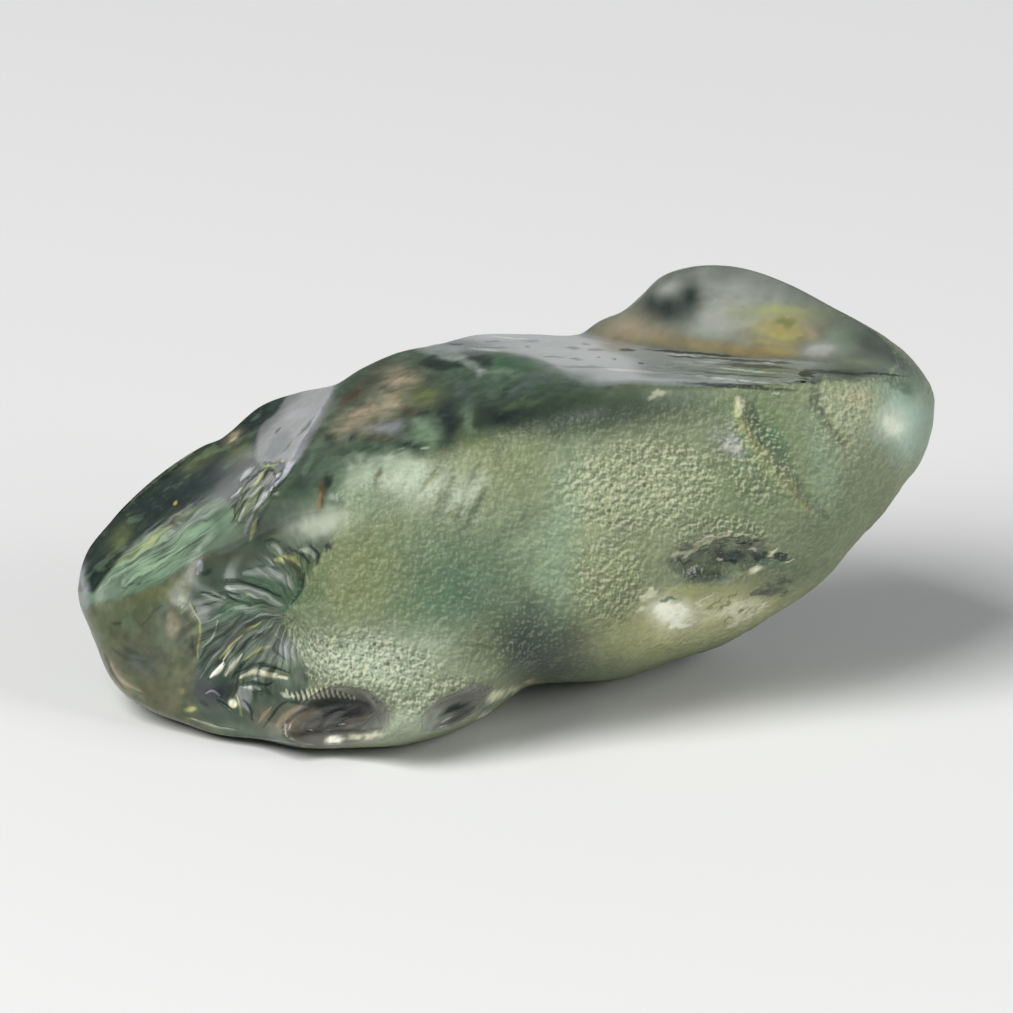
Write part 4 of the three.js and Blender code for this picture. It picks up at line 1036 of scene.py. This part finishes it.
class Side:
    """One side of the stone while faces are cut from it: its depth, and where each finish shows."""

    def __init__(self, along, rise, depth, finish, sign):
        self.along, self.rise, self.sign = along, rise, sign
        self.depth = depth
        self.finishes = {finish: np.ones_like(depth)}

    def give(self, finish, shows):
        """Shows a finish over those already there, as far as shows, from 0 to 1."""
        for mask in self.finishes.values():
            mask *= 1 - shows
        self.finishes[finish] = self.finishes.get(finish, 0) + shows

    def cut(self, finish, depth, worn, blur=ZONE_BLUR):
        """Cuts the side back to a depth, and shows the finish there."""
        if finish:
            self.give(finish, past(self.sign * (self.depth - depth), 0, blur))
        self.depth = self.sign * lesser(self.sign * self.depth, self.sign * depth, worn)

    def cut_cups(self, cups):
        ripple = CUP_RIPPLE * wave(self.along, self.rise, *CUP_WAVES)
        for finish, at, reach, turn, floor, lip, worn in cups:
            self.cut(finish, cup_depth(self.along, self.rise, at, reach, turn, floor, lip) + ripple, worn)


def groove_share(along, rise):
    """How much of its full depth the groove has at a place."""
    line = curve_through(GROOVE)(rise)
    right_of_line = GROOVE_SLANT * (along + GROOVE_WANDER * wave(rise, along, *GROOVE_WAVES) - line)
    share = soft_step(right_of_line / GROOVE_WALL) * np.maximum(0, 1 - right_of_line / GROOVE_WIDTH) ** 2
    foot, top = GROOVE[0][0], GROOVE[-1][0] + GROOVE_TOP_REACH
    return share * soft_step((rise - foot) / GROOVE_WIDTH) * soft_step((top - rise) / GROOVE_TOP_FADE)


def front_side(along, rise, pebble):
    depth = lesser(pebble, face_depth(BROAD_FACE, along, rise), BROAD_FACE[2])
    depth += LOBE_HEIGHT * soft_patch(along, rise, *LOBE) - GROOVE_DEPTH * groove_share(along, rise)
    side = Side(along, rise, depth, "frosted", 1)
    side.give("gold_face", soft_patch(along, rise, *GOLD_FACE))
    side.give("tip_face", soft_cloud(along, rise, *TIP_FACE))
    side.give("smooth_band", past(rise, curve_through(SKIN_TOP)(along), SKIN_TOP_BLUR))

    shelf = face_depth(SHELF_TOP, along, rise)
    hump = lesser(face_depth(HUMP_FACE, along, rise), face_depth(HUMP_LEFT, along, rise), HUMP_LEFT[2])
    side.cut("shelf", greater(shelf, hump, HUMP_FACE[2]), SHELF_TOP[2])
    off_shelf = np.maximum(past(hump, shelf), past(along, SHELF_END, SHELF_END_BLUR))
    on_hump = side.finishes["shelf"] * off_shelf
    side.finishes["hump"] = on_hump
    side.finishes["shelf"] = side.finishes["shelf"] - on_hump

    side.cut("shoulder", face_depth(SHOULDER, along, rise), SHOULDER_WORN, SHOULDER_BLUR)
    left_shelf = past(along, SHELF_START) * past(SHELF_TURNS, along) * (1 - on_hump)
    over_edge = past(rise, curve_through(SHELF_EDGE)(along))
    side.give("shoulder", left_shelf * (1 - over_edge) * side.finishes["shelf"])
    side.give("shelf", left_shelf * over_edge)
    facet, end = face_depth(LEFT_FACET, along, rise), face_depth(UPPER_LEFT, along, rise)
    side.cut(None, greater(facet, end, UPPER_LEFT[2]), LEFT_FACET[2])
    skin_edge = curve_through(BREAK_EDGE)(rise)
    wall = BREAK_LEVEL + BREAK_STEEPNESS * (along - skin_edge)
    side.cut(None, greater(face_depth(LOWER_LEFT, along, rise), wall, BREAK_FILLET), LOWER_LEFT[2])

    off_skin = past(skin_edge, along)
    above_foot = past(rise, curve_through(END_FOOT)(along))
    left_of_ridge = past(curve_through(RIDGE)(rise), along) * above_foot
    on_facet = past(along, curve_through(FACET_EDGE)(rise)) * past(rise, FACET_FOOT)
    side.give("shell_break", off_skin * (1 - above_foot))
    side.give("lower_left", past(curve_through(GREY_EDGE)(rise), along) * (1 - above_foot))
    side.give("shoulder", off_skin * above_foot)
    side.give("upper_left", left_of_ridge)
    side.give("silk", left_of_ridge * past(curve_through(SILK_TOP)(along), rise))
    side.give("hackles", left_of_ridge * soft_patch(along, rise, *HACKLES))
    side.give("left_facet", left_of_ridge * on_facet)
    side.cut_cups(FRONT_CUPS)
    return side


def back_side(along, rise, pebble):
    side = Side(along, rise, pebble, "back", -1)
    for face in (BACK_FACE, BACK_LEFT):
        side.cut("back", face_depth(face, along, rise), face[2])
    side.cut_cups(BACK_CUPS)
    return side


def drawn_place(directions):
    """Along, rise and turn of directions from the stone's middle. The poles of Z become the tips, and -Y
    faces the viewer."""
    x, y, z = directions.T
    latitude = np.arcsin(np.clip(z, -1, 1))
    along = LENGTH / 2 * (1 - np.sin(TIP_CROWDING * latitude) / math.sin(TIP_CROWDING * math.pi / 2))
    even_turn = np.arctan2(x, -y)
    turn = even_turn - FRONT_CROWDING * np.sin(even_turn)
    top, bottom = edge_through(TOP_EDGE)(along), edge_through(BOTTOM_EDGE)(along)
    rise = (top + bottom) / 2 + np.sin(turn) * (top - bottom) / 2
    return along, rise, turn


def in_space(flat):
    """Places given by two numbers, with 0 for a third."""
    return np.column_stack([flat, np.zeros(len(flat))])


def noise_over(places, fineness, seed, layers=1):
    """Smooth noise of about -1 to 1, with so many lumps per mm."""
    shift = Vector((seed * 17.3, seed * 5.1, seed * 9.7))
    return np.array([noise.fractal(Vector(row) + shift, 1, 2, layers) for row in places * fineness])


def soft_patch(along, rise, at, reach, turn, strength):
    wide, high = turned_place(along, rise, at, reach, math.radians(turn))
    return strength * soft_step(MARK_EDGE * (1 - np.hypot(wide, high)))


def soft_cloud(along, rise, at, reach, turn, strength):
    wide, high = turned_place(along, rise, at, reach, math.radians(turn))
    return strength * np.exp(-CLOUD_FADE * (wide**2 + high**2))


def stroke_mask(along, rise, half_width, points):
    """1 on a curved stroke that narrows to its ends, and 0 beside it."""
    steps = np.arange(len(points))
    fine_steps = np.linspace(0, len(points) - 1, STROKE_PIECES * (len(points) - 1) + 1)
    line = np.column_stack([
        curve_through(np.column_stack([steps, axis]))(fine_steps) for axis in np.transpose(points)
    ])
    mask = np.zeros_like(along)
    low, high = line.min(0) - 2 * half_width, line.max(0) + 2 * half_width
    near = (along > low[0]) & (along < high[0]) & (rise > low[1]) & (rise < high[1])
    distance, share = nearest_on_line(line, along[near], rise[near])
    width = half_width * (STROKE_TIP + (1 - STROKE_TIP) * np.sin(math.pi * share))
    mask[near] = soft_step(STROKE_EDGE - distance / width)
    return mask


class Stone:
    """Every vertex of the stone: its place, and the finish and the colour that show there."""

    def __init__(self, directions):
        along, rise, turn = drawn_place(directions)
        height, rounding = np.sin(turn), end_rounding(along)
        top, bottom = curve_through(TOP_RIM)(along), curve_through(BOTTOM_RIM)(along)
        chord = bottom + (top - bottom) * (height + 1) / 2
        front_swell = curve_through(FRONT_SWELL)(along) * bulge(np.abs(height), FRONT_ROUNDING) * rounding
        back_swell = curve_through(BACK_SWELL)(along) * bulge(np.abs(height), BACK_ROUNDING) * rounding
        front, back = front_side(along, rise, chord + front_swell), back_side(along, rise, chord - back_swell)
        at_front = np.cos(turn) > 0
        depth = np.where(at_front, front.depth, back.depth)
        flatness = np.where(at_front, front.finishes["shelf"] + front.finishes["left_facet"], 0)
        depth += LUMP * unevenness(along, rise) * rounding * np.cos(turn) * (1 - flatness)
        level = (RESTING_LEVEL - rise * math.cos(LEAN)) / math.sin(LEAN)
        self.resting = depth < level + RESTING_MARGIN
        self.along, self.rise, self.depth = along, rise, np.maximum(depth, level)
        self.frontness = soft_step(np.cos(turn) / FRONT_BLUR)
        self.shows = {}
        for finish in FINISH_VALUES:
            nothing = np.zeros_like(along)
            at_back = back.finishes.get(finish, nothing)
            self.shows[finish] = np.where(at_front, front.finishes.get(finish, nothing), at_back)
        self.drawn = np.column_stack([along, rise, self.depth])
        drift = [WARP * noise_over(self.drawn, WARP_FINENESS, seed, 3) for seed in (1, 2)]
        self.patch_along, self.patch_rise = along + drift[0], rise + drift[1]
        self.folds = self.make_folds()
        stroke_place = along + STROKE_DRIFT * drift[0], rise + STROKE_DRIFT * drift[1]
        self.strokes = [
            (name, height, strength, stroke_mask(*stroke_place, half_width, points) * self.frontness)
            for name, half_width, height, strength, points in (*STROKES, *comb_strokes())
        ]

    def blended(self, which):
        """One of the finish values, blended over the stone."""
        return sum(mask * FINISH_VALUES[finish][which] for finish, mask in self.shows.items())

    def patched(self, patches):
        total = np.zeros_like(self.along)
        for patch in patches:
            total = np.maximum(total, soft_patch(self.patch_along, self.patch_rise, *patch))
        return total * self.frontness

    def painted(self, colours):
        """The colour of every vertex, painted highlights and shade among it, and how cloudy it is there."""
        cloudy = np.zeros_like(self.along)
        tint = sum(mask[:, None] * np.array(getattr(colours, finish)) for finish, mask in self.shows.items())
        for shape, rows in ((soft_cloud, CLOUDS), (soft_patch, MARKS)):
            for name, *place in rows:
                share = shape(self.patch_along, self.patch_rise, *place) * self.frontness
                tint += share[:, None] * (np.array(getattr(colours, name)) - tint)
                if name in CLOUDY:
                    cloudy = np.maximum(cloudy, share)
        # painted light and shade: the folds' crests lighter and their troughs darker
        tint *= 1 + FOLD_SHADE * self.folds[:, None]
        # the strokes: painted highlights on most raised ones and painted shade in most sunken ones
        for name, _, strength, mask in self.strokes:
            tint += strength * mask[:, None] * (np.array(getattr(colours, name)) - tint)
        return tint, cloudy

    def feather_lines(self):
        """Places across and along the feathering: fans in the broken zone and the scoops, and straight
        lines on the end faces and the shelf."""
        along, rise = self.patch_along, self.patch_rise
        fan = fan_place(along, rise, FOCUS, FAN_BEND)
        scoop_fan = fan_place(along, rise, SCOOP_FOCUS, SCOOP_BEND)
        silk = line_place(along, rise, SILK_TURN) * (SILK_FINENESS, 1)
        facet = line_place(along, rise, FACET_TURN)
        level = line_place(along, SHELF_SQUEEZE * rise, 0)
        lines = fan
        for other, mask in (
            (level, self.shows["shelf"]),
            (facet, self.shows["left_facet"] + self.shows["hackles"]),
            (silk, self.shows["upper_left"] + self.shows["silk"]),
            (scoop_fan, self.shows["scoop"]),
        ):
            lines = np.where(mask[:, None] > 0.5, other, lines)
        return lines

    def make_folds(self):
        """Slanted folds where the skin is worn almost to glass; the relief and the painted light and shade
        both follow them.
        """
        flow = line_place(self.patch_along, self.patch_rise, FOLD_TURN) * FOLD_FINENESS
        return self.patched(FOLDS) * noise_over(in_space(flow), 1, 7, 2)

    def relief(self, feathers, lines):
        """Height of the fine forms over the smooth stone, in mm."""
        height = WORN_HEIGHT * noise_over(self.drawn, WORN_FINENESS, 3)
        for seed, fineness in enumerate(FROST_FINENESS, 4):
            height += FROST_HEIGHT * self.blended(FROST) * noise_over(self.drawn, fineness, seed)
        height += FOLD_HEIGHT * self.folds
        height += FEATHER_HEIGHT * feathers * noise_over(in_space(lines * FEATHER_FINENESS), 1, 6, 2)
        for _, stroke_height, _, mask in self.strokes:
            height += STROKE_RELIEF * stroke_height * mask
        return height * ~self.resting


def comb_strokes():
    """The small teeth over the scoop, a painted glint and painted shade in turn, and tallest in the middle of
    their row.
    """
    line = curve_through(COMB_LINE)
    teeth = []
    for i, along in enumerate(np.linspace(COMB_LINE[0][0], COMB_LINE[-1][0], 2 * COMB_TEETH + 1)):
        foot = line(along)
        taper = math.sin(math.pi * (i + 4) / (2 * COMB_TEETH + 6))
        name, height = TOOTH_LOOKS[i % 2]
        points = (along, foot - TOOTH_ROOT), (along + TOOTH_LEAN, foot + TOOTH_HEIGHT * taper)
        teeth.append((name, TOOTH_HALF_WIDTH, height, TOOTH_STRENGTH, points))
    return teeth


def fan_place(along, rise, focus, bend):
    """Across and along lines that spread from a focus and curve."""
    out = np.hypot(along - focus[0], rise - focus[1])
    angle = np.arctan2(rise - focus[1], along - focus[0]) % (2 * math.pi)
    return np.column_stack([FAN_SPREAD * (angle - bend * out), out])


def line_place(along, rise, turn):
    """Across and along straight lines that rise to the right by turn."""
    return np.column_stack([
        rise * math.cos(turn) - along * math.sin(turn),
        along * math.cos(turn) + rise * math.sin(turn),
    ])


def ball_mesh():
    """A ball with smaller faces where the finer forms will be."""
    bm = bmesh.new()
    bmesh.ops.create_uvsphere(bm, u_segments=AROUND, v_segments=RINGS, radius=1)
    along, rise, turn = drawn_place(np.array([v.co for v in bm.verts]))
    cuts_of = np.zeros(len(along), int)
    for (from_along, to_along), (from_rise, to_rise), cuts in FINE_ZONES:
        inside = (along > from_along) & (along < to_along) & (rise > from_rise) & (rise < to_rise)
        cuts_of[inside & (np.cos(turn) > 0) & (cuts_of == 0)] = cuts
    bm.verts.index_update()
    to_cut = {
        cuts: [edge for edge in bm.edges if all(cuts_of[v.index] == cuts for v in edge.verts)]
        for cuts in sorted({zone[2] for zone in FINE_ZONES})
    }
    for cuts, edges in to_cut.items():
        bmesh.ops.subdivide_edges(bm, edges=edges, cuts=cuts, use_grid_fill=True)
    for v in bm.verts:
        v.co.normalize()
    return bm


def leaned(drawn):
    """From along, rise and depth to the part's own axes, in metres, before the stone is set down."""
    along, rise, depth = drawn.T
    flat = np.column_stack([along, -depth, rise]) * MM
    return flat @ np.array(Matrix.Rotation(LEAN, 3, "X"))


def move_all(bm, places):
    for v, place in zip(bm.verts, places):
        v.co = place
    bm.normal_update()


def store(mesh, kind, field, values):
    """Keeps values of every vertex as attributes of the mesh, for the material to read."""
    for name, value in values.items():
        flat = value.astype(np.float32).ravel()
        mesh.attributes.new(name, kind, "POINT").data.foreach_set(field, flat)


def build_stone(colours):
    bm = ball_mesh()
    stone = Stone(np.array([v.co for v in bm.verts]))
    places = leaned(stone.drawn)
    low, high = places.min(0), places.max(0)
    middle = (low + high) / 2
    cad_middle = (CAD_LOW + CAD_HIGH) / 2
    places += np.array([cad_middle.x - middle[0], cad_middle.y - middle[1], CAD_LOW.z - low[2]])
    move_all(bm, places)

    feathers = stone.patched(FEATHERS)
    lines = stone.feather_lines()
    normals = np.array([v.normal for v in bm.verts])
    places += normals * (stone.relief(feathers, lines) * MM)[:, None]
    places[:, 2] = np.maximum(places[:, 2], CAD_LOW.z)
    move_all(bm, places)

    mesh = bpy.data.meshes.new("sapphire_stone")
    bm.to_mesh(mesh)
    bm.free()
    mesh.shade_smooth()
    tint, cloudy = stone.painted(colours)
    behind = stone.shows["back"]
    values = {
        "see_through": stone.blended(SEE_THROUGH) * (1 - CLOUDINESS * cloudy),
        "rough": stone.blended(ROUGH),
        "frost": stone.blended(FROST),
        "mottle": stone.blended(MOTTLE),
        "behind": behind,
        "sparkle": stone.patched(SPARKLES) + BACK_SPARKLE * behind,
        "feathers": feathers,
    }
    drawn = np.column_stack([stone.along, stone.rise, BEHIND * (1 - stone.frontness)])
    solid_tint = np.column_stack([tint, np.ones(len(tint))])
    store(mesh, "FLOAT", "value", values)
    store(mesh, "FLOAT_VECTOR", "vector", {"lines": in_space(lines), "drawn": drawn})
    store(mesh, "FLOAT_COLOR", "color", {"tint": solid_tint})

    piece = bpy.data.objects.new("sapphire_stone", mesh)
    bpy.context.scene.collection.objects.link(piece)
    return piece


class Recipe:
    """Adds shader nodes to one material and joins them up."""

    def __init__(self, material):
        material.use_nodes = True
        self.nodes, self.links = material.node_tree.nodes, material.node_tree.links
        self.nodes.clear()

    def node(self, kind, inputs=(), **settings):
        made = self.nodes.new(kind)
        for name, value in settings.items():
            setattr(made, name, value)
        for socket, value in dict(inputs).items():
            if isinstance(value, bpy.types.NodeSocket):
                self.links.new(value, made.inputs[socket])
            else:
                made.inputs[socket].default_value = value
        return made

    def attribute(self, name, output):
        return self.node("ShaderNodeAttribute", attribute_name=name).outputs[output]

    def blend(self, share, shade, other):
        """Another colour mixed into a shade, as far as share."""
        return self.node(
            "ShaderNodeMix", {0: share, 6: shade, 7: (*other, 1)}, data_type="RGBA", clamp_factor=True
        ).outputs[2]

    def scaled(self, shade, factor, share):
        """A shade made brighter or darker by a factor, as far as share."""
        grey = self.node("ShaderNodeCombineColor", {0: factor, 1: factor, 2: factor}).outputs[0]
        return self.node(
            "ShaderNodeMix", {0: share, 6: shade, 7: grey}, data_type="RGBA", blend_type="MULTIPLY"
        ).outputs[2]

    def maths(self, how, a, b):
        return self.node("ShaderNodeMath", {0: a, 1: b}, operation=how).outputs[0]

    def times(self, a, b):
        return self.maths("MULTIPLY", a, b)

    def vectors(self, how, *inputs, output=0):
        return self.node("ShaderNodeVectorMath", dict(enumerate(inputs)), operation=how).outputs[output]

    def step(self, value, low, high, to_low, to_high):
        return self.node(
            "ShaderNodeMapRange", {0: value, 1: low, 2: high, 3: to_low, 4: to_high},
            interpolation_type="SMOOTHSTEP",
        ).outputs[0]

    def bump(self, height, distance, **inputs):
        inputs.update(Strength=1.0, Distance=distance, Height=height)
        return self.node("ShaderNodeBump", inputs).outputs[0]

    def patches(self, vector, turn, places):
        """How near a place is to the middle of some ellipses that share a turn: 0 there, 1 at an edge."""
        across = Matrix.Rotation(-turn, 3, "Z")
        turned = self.node("ShaderNodeMapping", {"Vector": vector, "Rotation": (0, 0, -turn)}).outputs[0]
        nearest = 1.0
        for at, reach in places:
            scale = Vector((1 / reach[0], 1 / reach[1], 1))
            shift = -(across @ Vector((*at, 0))) * scale
            inside = self.vectors("MULTIPLY_ADD", turned, scale, shift)
            nearest = self.maths("MINIMUM", nearest, self.vectors("LENGTH", inside, output="Value"))
        return nearest

    def noise(self, vector, scale, detail, roughness):
        return self.node(
            "ShaderNodeTexNoise",
            {"Vector": vector, "Scale": scale, "Detail": detail, "Roughness": roughness},
        ).outputs["Fac"]


def marked_shade(recipe, in_mm, colours):
    """The colour painted on the stone with the fine marks over it, their edges made to wander."""
    drawn = recipe.attribute("drawn", "Vector")
    waver = recipe.node("ShaderNodeTexNoise", {"Vector": in_mm, **WAVER_LAYERS}).outputs["Color"]
    waver = recipe.vectors("SUBTRACT", waver, (0.5, 0.5, 0.5))
    shade = recipe.attribute("tint", "Color")
    for name, strength, turn, wander, places in FINE_MARKS:
        wandering = recipe.vectors("MULTIPLY_ADD", waver, wander, drawn)
        nearest = recipe.patches(wandering, math.radians(turn), places)
        share = recipe.step(nearest, 1, 1 - 1 / MARK_EDGE, 0, strength)
        shade = recipe.blend(share, shade, getattr(colours, name))
    return shade


def sapphire_material(colours, finish):
    material = bpy.data.materials.new("sapphire")
    recipe = Recipe(material)
    place = recipe.node("ShaderNodeTexCoord").outputs["Object"]
    in_mm = recipe.node("ShaderNodeMapping", {"Vector": place, "Scale": (1 / MM,) * 3}).outputs[0]
    frost, sparkle, feathers, clear, behind, rough, see_through = (
        recipe.attribute(name, "Fac")
        for name in ("frost", "sparkle", "feathers", "mottle", "behind", "rough", "see_through")
    )
    pattern = {name: recipe.noise(in_mm, *layers) for name, layers in PATTERNS.items()}
    grain, flecks = pattern["grain"], pattern["flecks"]

    def stepped(name, value):
        return recipe.step(value, *STEPS[name])

    # the frosted grain: dimples, finer flecks with a painted highlight on the side towards the light and
    # painted shade on the other, and a few brown pits
    to_light = recipe.vectors("ADD", in_mm, LIGHT_STEP)
    slope = recipe.maths("SUBTRACT", recipe.noise(to_light, *PATTERNS["flecks"]), flecks)
    sparkly = recipe.times(stepped("sparkly", sparkle), frost)
    cells = recipe.node("ShaderNodeTexVoronoi", {"Vector": in_mm, "Scale": PIT_SPACING})
    of_cell = recipe.node("ShaderNodeSeparateColor", {0: cells.outputs["Color"]}).outputs[0]
    ragged = recipe.maths("ADD", cells.outputs["Distance"], recipe.times(flecks, PIT_RAGGEDNESS))
    pits = recipe.times(stepped("pit", ragged), stepped("rare_pit", of_cell))

    # the feathering of the breaks, in relief and with painted light and shade along its streaks
    lines = recipe.attribute("lines", "Vector")
    stretched = recipe.node("ShaderNodeMapping", {"Vector": lines, "Scale": STREAK_STRETCH}).outputs[0]
    streak = recipe.noise(stretched, *STREAK_LAYERS)

    shade = marked_shade(recipe, in_mm, colours)
    shade = recipe.scaled(shade, stepped("cloud_shade", pattern["cloud"]), 1.0)
    shade = recipe.scaled(shade, stepped("mottle_shade", pattern["mottle"]), clear)
    for name, noisy, where, other in (
        ("warm_back", "drift", behind, colours.sand),
        ("cool_back", "drift", behind, colours.teal),
        ("dark_vein", "vein", clear, colours.valley),
        ("pale_vein", "vein", clear, colours.sea),
    ):
        shade = recipe.blend(recipe.times(stepped(name, pattern[noisy]), where), shade, other)
    # painted shade: darker in the grain's dimples and the feathers' troughs, lighter on their crests
    shade = recipe.scaled(shade, stepped("grain_shade", grain), frost)
    shade = recipe.scaled(shade, stepped("streak_shade", streak), feathers)
    # painted glints on the flecks' sides towards the light, painted shade on the other sides, and brown pits
    for share, other in (
        (stepped("glint", slope), colours.cream),
        (stepped("shadow", slope), colours.valley),
        (pits, colours.brown),
    ):
        shade = recipe.blend(recipe.times(share, sparkly), shade, other)

    height = recipe.times(recipe.maths("ADD", grain, recipe.times(flecks, FLECK_HEIGHT)), frost)
    frosted = recipe.bump(height, finish.grain)
    normal = recipe.bump(recipe.times(streak, feathers), finish.streaks, Normal=frosted)
    surface = recipe.node(
        "ShaderNodeBsdfPrincipled",
        {
            "Base Color": shade, "Roughness": rough, "IOR": finish.index,
            "Transmission Weight": see_through, "Normal": normal,
            "Specular IOR Level": finish.gloss,
        },
    ).outputs[0]
    inside = recipe.node(
        "ShaderNodeVolumeAbsorption", {"Color": (*colours.absorption, 1), "Density": finish.density}
    ).outputs[0]
    recipe.node("ShaderNodeOutputMaterial", {"Surface": surface, "Volume": inside})
    return material


class SAPPHIRE_OT_stone(bpy.types.Operator):
    """Build the sapphire in place of its CAD solid"""

    bl_idname = "sapphire.stone"
    bl_label = "Build the sapphire"

    def execute(self, context):
        piece = build_stone(context.scene.sapphire_colours)
        piece.data.materials.append(
            sapphire_material(context.scene.sapphire_colours, context.scene.sapphire_finish)
        )
        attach(piece, "root")
        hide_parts(NODE)
        return {"FINISHED"}


def aim(thing, target):
    thing.rotation_euler = (target - thing.location).to_track_quat("-Z", "Y").to_euler()


def soft_light(name, place, target, size, power):
    light = bpy.data.lights.new(name, "AREA")
    light.shape = "RECTANGLE"
    light.size, light.size_y = size
    light.energy = power
    lamp = bpy.data.objects.new(name, light)
    bpy.context.scene.collection.objects.link(lamp)
    lamp.location = place
    aim(lamp, target)
    return lamp


class SAPPHIRE_OT_studio(bpy.types.Operator):
    """Lay the pale floor and set the soft lights and the camera"""

    bl_idname = "sapphire.studio"
    bl_label = "Set the studio"

    def execute(self, context):
        studio = context.scene.sapphire_studio
        bm = bmesh.new()
        bmesh.ops.create_grid(bm, x_segments=1, y_segments=1, size=FLOOR_HALF_WIDTH)
        bmesh.ops.translate(bm, vec=(0, 0, CAD_LOW.z - FLOOR_GAP), verts=bm.verts)
        mesh = bpy.data.meshes.new("floor")
        bm.to_mesh(mesh)
        bm.free()
        floor = bpy.data.objects.new("floor", mesh)
        context.scene.collection.objects.link(floor)
        material = bpy.data.materials.new("floor")
        recipe = Recipe(material)
        surface = recipe.node(
            "ShaderNodeBsdfPrincipled", {"Base Color": (*studio.floor, 1), "Roughness": FLOOR_ROUGHNESS}
        ).outputs[0]
        recipe.node("ShaderNodeOutputMaterial", {"Surface": surface})
        mesh.materials.append(material)

        world = bpy.data.worlds.new("studio")
        world.use_nodes = True
        world.node_tree.nodes["Background"].inputs["Color"].default_value = (*studio.surroundings, 1)
        context.scene.world = world

        right, up = PICTURE_MIDDLE
        target = Vector((right, up * math.sin(LEAN) - SET_FORWARD, up * math.cos(LEAN) - RESTING_LEVEL)) * MM
        for name, place, size in LIGHTS:
            lamp = soft_light(name, place, target, size, getattr(studio, name))
            lamp.visible_glossy = name != "key_light"

        camera = bpy.data.objects.new("camera", bpy.data.cameras.new("camera"))
        context.scene.collection.objects.link(camera)
        away = studio.lens_distance
        camera.location = target + Vector((0, -math.cos(LEAN), math.sin(LEAN))) * away
        aim(camera, target)
        camera.data.lens = camera.data.sensor_width * away / studio.picture_width
        camera.data.clip_start = NEAREST_SEEN
        context.scene.camera = camera
        context.scene.view_settings.view_transform = "Standard"
        return {"FINISHED"}


class SAPPHIRE_PT_panel(bpy.types.Panel):
    """Lists the steps and the values of the sapphire"""

    bl_label = "Raw sapphire"
    bl_space_type = "VIEW_3D"
    bl_region_type = "UI"
    bl_category = "Sapphire"

    def draw(self, context):
        for step in (SAPPHIRE_OT_stone, SAPPHIRE_OT_studio):
            self.layout.operator(step.bl_idname)
        for group in GROUPS:
            values = getattr(context.scene, group)
            box = self.layout.box()
            for name in values.__annotations__:
                box.prop(values, name)


GROUPS = {
    "sapphire_colours": SapphireColours,
    "sapphire_finish": SapphireFinish,
    "sapphire_studio": SapphireStudio,
}
CLASSES = (*GROUPS.values(), SAPPHIRE_OT_stone, SAPPHIRE_OT_studio, SAPPHIRE_PT_panel)


def register():
    for cls in CLASSES:
        bpy.utils.register_class(cls)
    for name, cls in GROUPS.items():
        setattr(bpy.types.Scene, name, PointerProperty(type=cls))


def unregister():
    for name in GROUPS:
        delattr(bpy.types.Scene, name)
    for cls in reversed(CLASSES):
        bpy.utils.unregister_class(cls)


def main():
    register()
    bpy.ops.sapphire.stone()
    bpy.ops.sapphire.studio()


if __name__ == "__main__":
    main()
